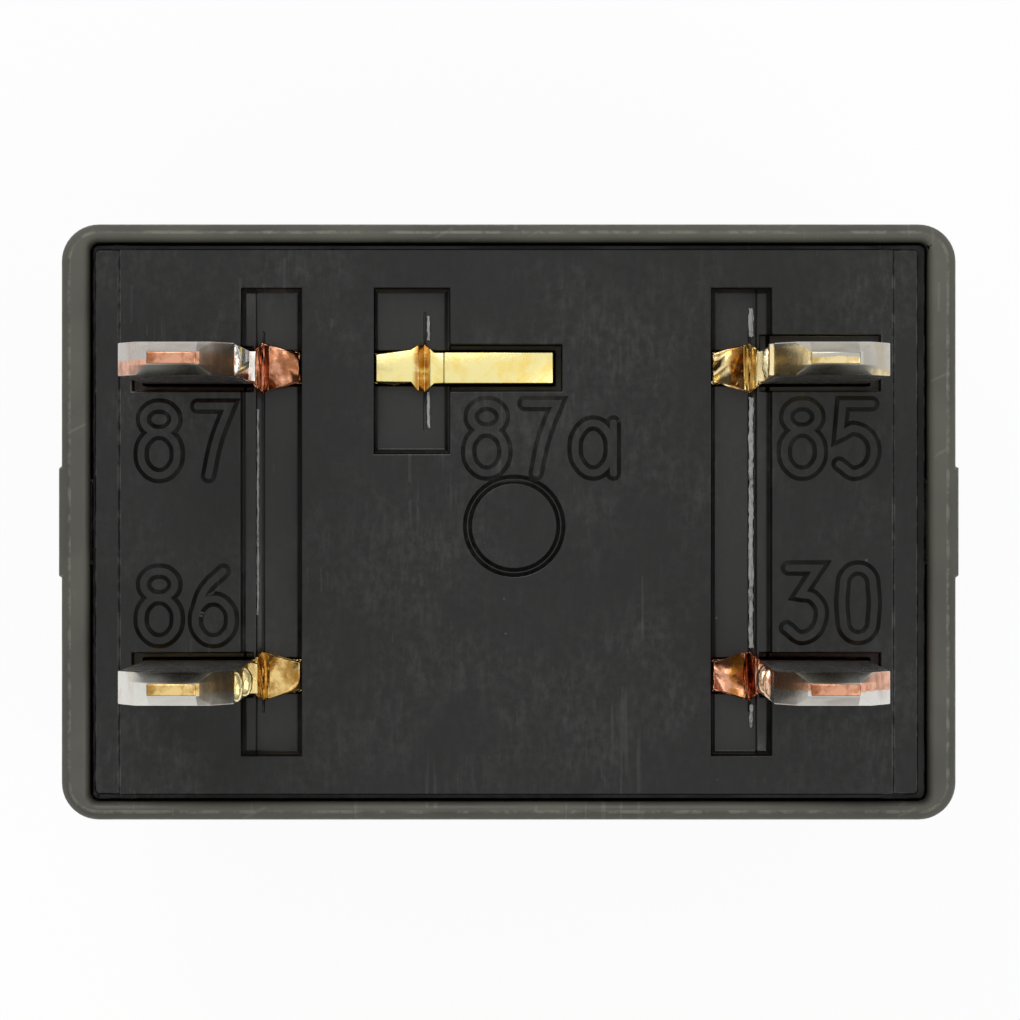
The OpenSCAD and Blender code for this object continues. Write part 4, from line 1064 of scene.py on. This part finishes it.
def makeNumerals():
    profile = makeRidgeProfile()
    models = {sign: makeGlyph(sign, profile) for sign in glyph}
    placed = []
    for word, (asideX, asideY) in label.items():
        x = terminalAt["terminal_" + word].x + asideX - (len(word) - 1) / 2 * numeral["pitch"]
        y = terminalAt["terminal_" + word].y + asideY - numeral["tall"] * mm / 2
        for index, sign in enumerate(word):
            pickOnly(models[sign])
            bpy.ops.object.duplicate()
            piece = bpy.context.object
            piece.location = (x + index * numeral["pitch"], y, plateTop)
            placeInMesh(piece)
            placed.append(piece)
    for spare in [profile, *models.values()]:
        bpy.data.objects.remove(spare)
    signs = joined(placed, "raisedNumerals")
    bpy.ops.object.shade_smooth_by_angle(angle=math.radians(30))
    weighNormals(signs)
    finishPiece(signs, "housing", basePlastic)


makeNumerals()
print("numerals made")


# floor, light and camera

stage = dict(size=0.9, white=0.96, keep=0.93, fibre=1.5 * mm, fibreShade=0.985)
room = dict(horizon=0.1, zenith=0.95, low=0.16, high=0.88)
lamp = {
    "key": dict(at=(-0.06, 0.17, 0.20), size=0.16, power=0.20),
    "fill": dict(at=(0.16, -0.08, 0.20), size=0.20, power=0.12),
}
lampAim = Vector((0, 0, 0.02))
view = dict(aside=(0.85 * mm, 0.6 * mm), above=157 * mm, sensor=36, lens=216.6, shift=(-0.0312, -0.0112),
            clip=(0.01, 5))


def makeFloor():
    bpy.ops.mesh.primitive_grid_add(x_subdivisions=8, y_subdivisions=8, size=stage["size"], location=(0, 0, 0))
    floor = bpy.context.object
    floor.name = "paleFloor"
    placeInMesh(floor)
    material, tree, shader = newMaterial("palePaper", Roughness=0.85)
    fibres = noiseNode(tree, objectPoint(tree), stage["fibre"], 4.0, 0.6)
    white = stage["white"]
    link(tree, mixColour(tree, fibres, (white,) * 3, (white * stage["fibreShade"],) * 3), shader.inputs["Base Color"])
    glow = addNode(tree, "ShaderNodeEmission", Strength=1.0)
    rays = addNode(tree, "ShaderNodeLightPath")
    seen = larger(tree, rays.outputs["Is Camera Ray"], rays.outputs["Is Glossy Ray"])
    mix = addNode(tree, "ShaderNodeMixShader")
    link(tree, times(tree, seen, stage["keep"]), mix.inputs[0])
    link(tree, shader.outputs[0], mix.inputs[1])
    link(tree, glow.outputs[0], mix.inputs[2])
    link(tree, mix.outputs[0], tree.nodes["Material Output"].inputs["Surface"])
    floor.data.materials.append(material)


# dark near the horizon and bright overhead, and plain white to the camera
def makeWorld():
    world = bpy.data.worlds.new("softRoom")
    bpy.context.scene.world = world
    world.use_nodes = True
    tree = world.node_tree
    background = tree.nodes["Background"]
    rays = addNode(tree, "ShaderNodeLightPath")
    upward = axesOf(tree, addNode(tree, "ShaderNodeTexCoord").outputs["Generated"])[2]
    dome = rampNode(tree, upward, room["horizon"], room["zenith"], room["low"], room["high"])
    plain = larger(tree, rays.outputs["Is Camera Ray"], rays.outputs["Is Transmission Ray"])
    link(tree, larger(tree, dome, plain), background.inputs["Strength"])
    background.inputs["Color"].default_value = (1, 1, 1, 1)


def makeLamps():
    for name, settings in lamp.items():
        deselectAll()
        bpy.ops.object.light_add(type="AREA", location=settings["at"])
        light = bpy.context.object
        light.name = name + "Lamp"
        light.data.size = settings["size"]
        light.data.energy = settings["power"]
        light.rotation_euler = (lampAim - Vector(settings["at"])).to_track_quat("-Z", "Y").to_euler()


def makeCamera():
    deselectAll()
    bpy.ops.object.camera_add(location=(*view["aside"], coverHigh.z + view["above"]), rotation=(0, 0, 0))
    camera = bpy.context.object
    camera.name = "mainCamera"
    camera.data.sensor_width = view["sensor"]
    camera.data.lens = view["lens"]
    camera.data.shift_x, camera.data.shift_y = view["shift"]
    camera.data.clip_start, camera.data.clip_end = view["clip"]
    bpy.context.scene.camera = camera


makeFloor()
makeWorld()
makeLamps()
makeCamera()
bpy.context.scene.view_settings.view_transform = "Standard"
print("stage ready")

deselectAll()
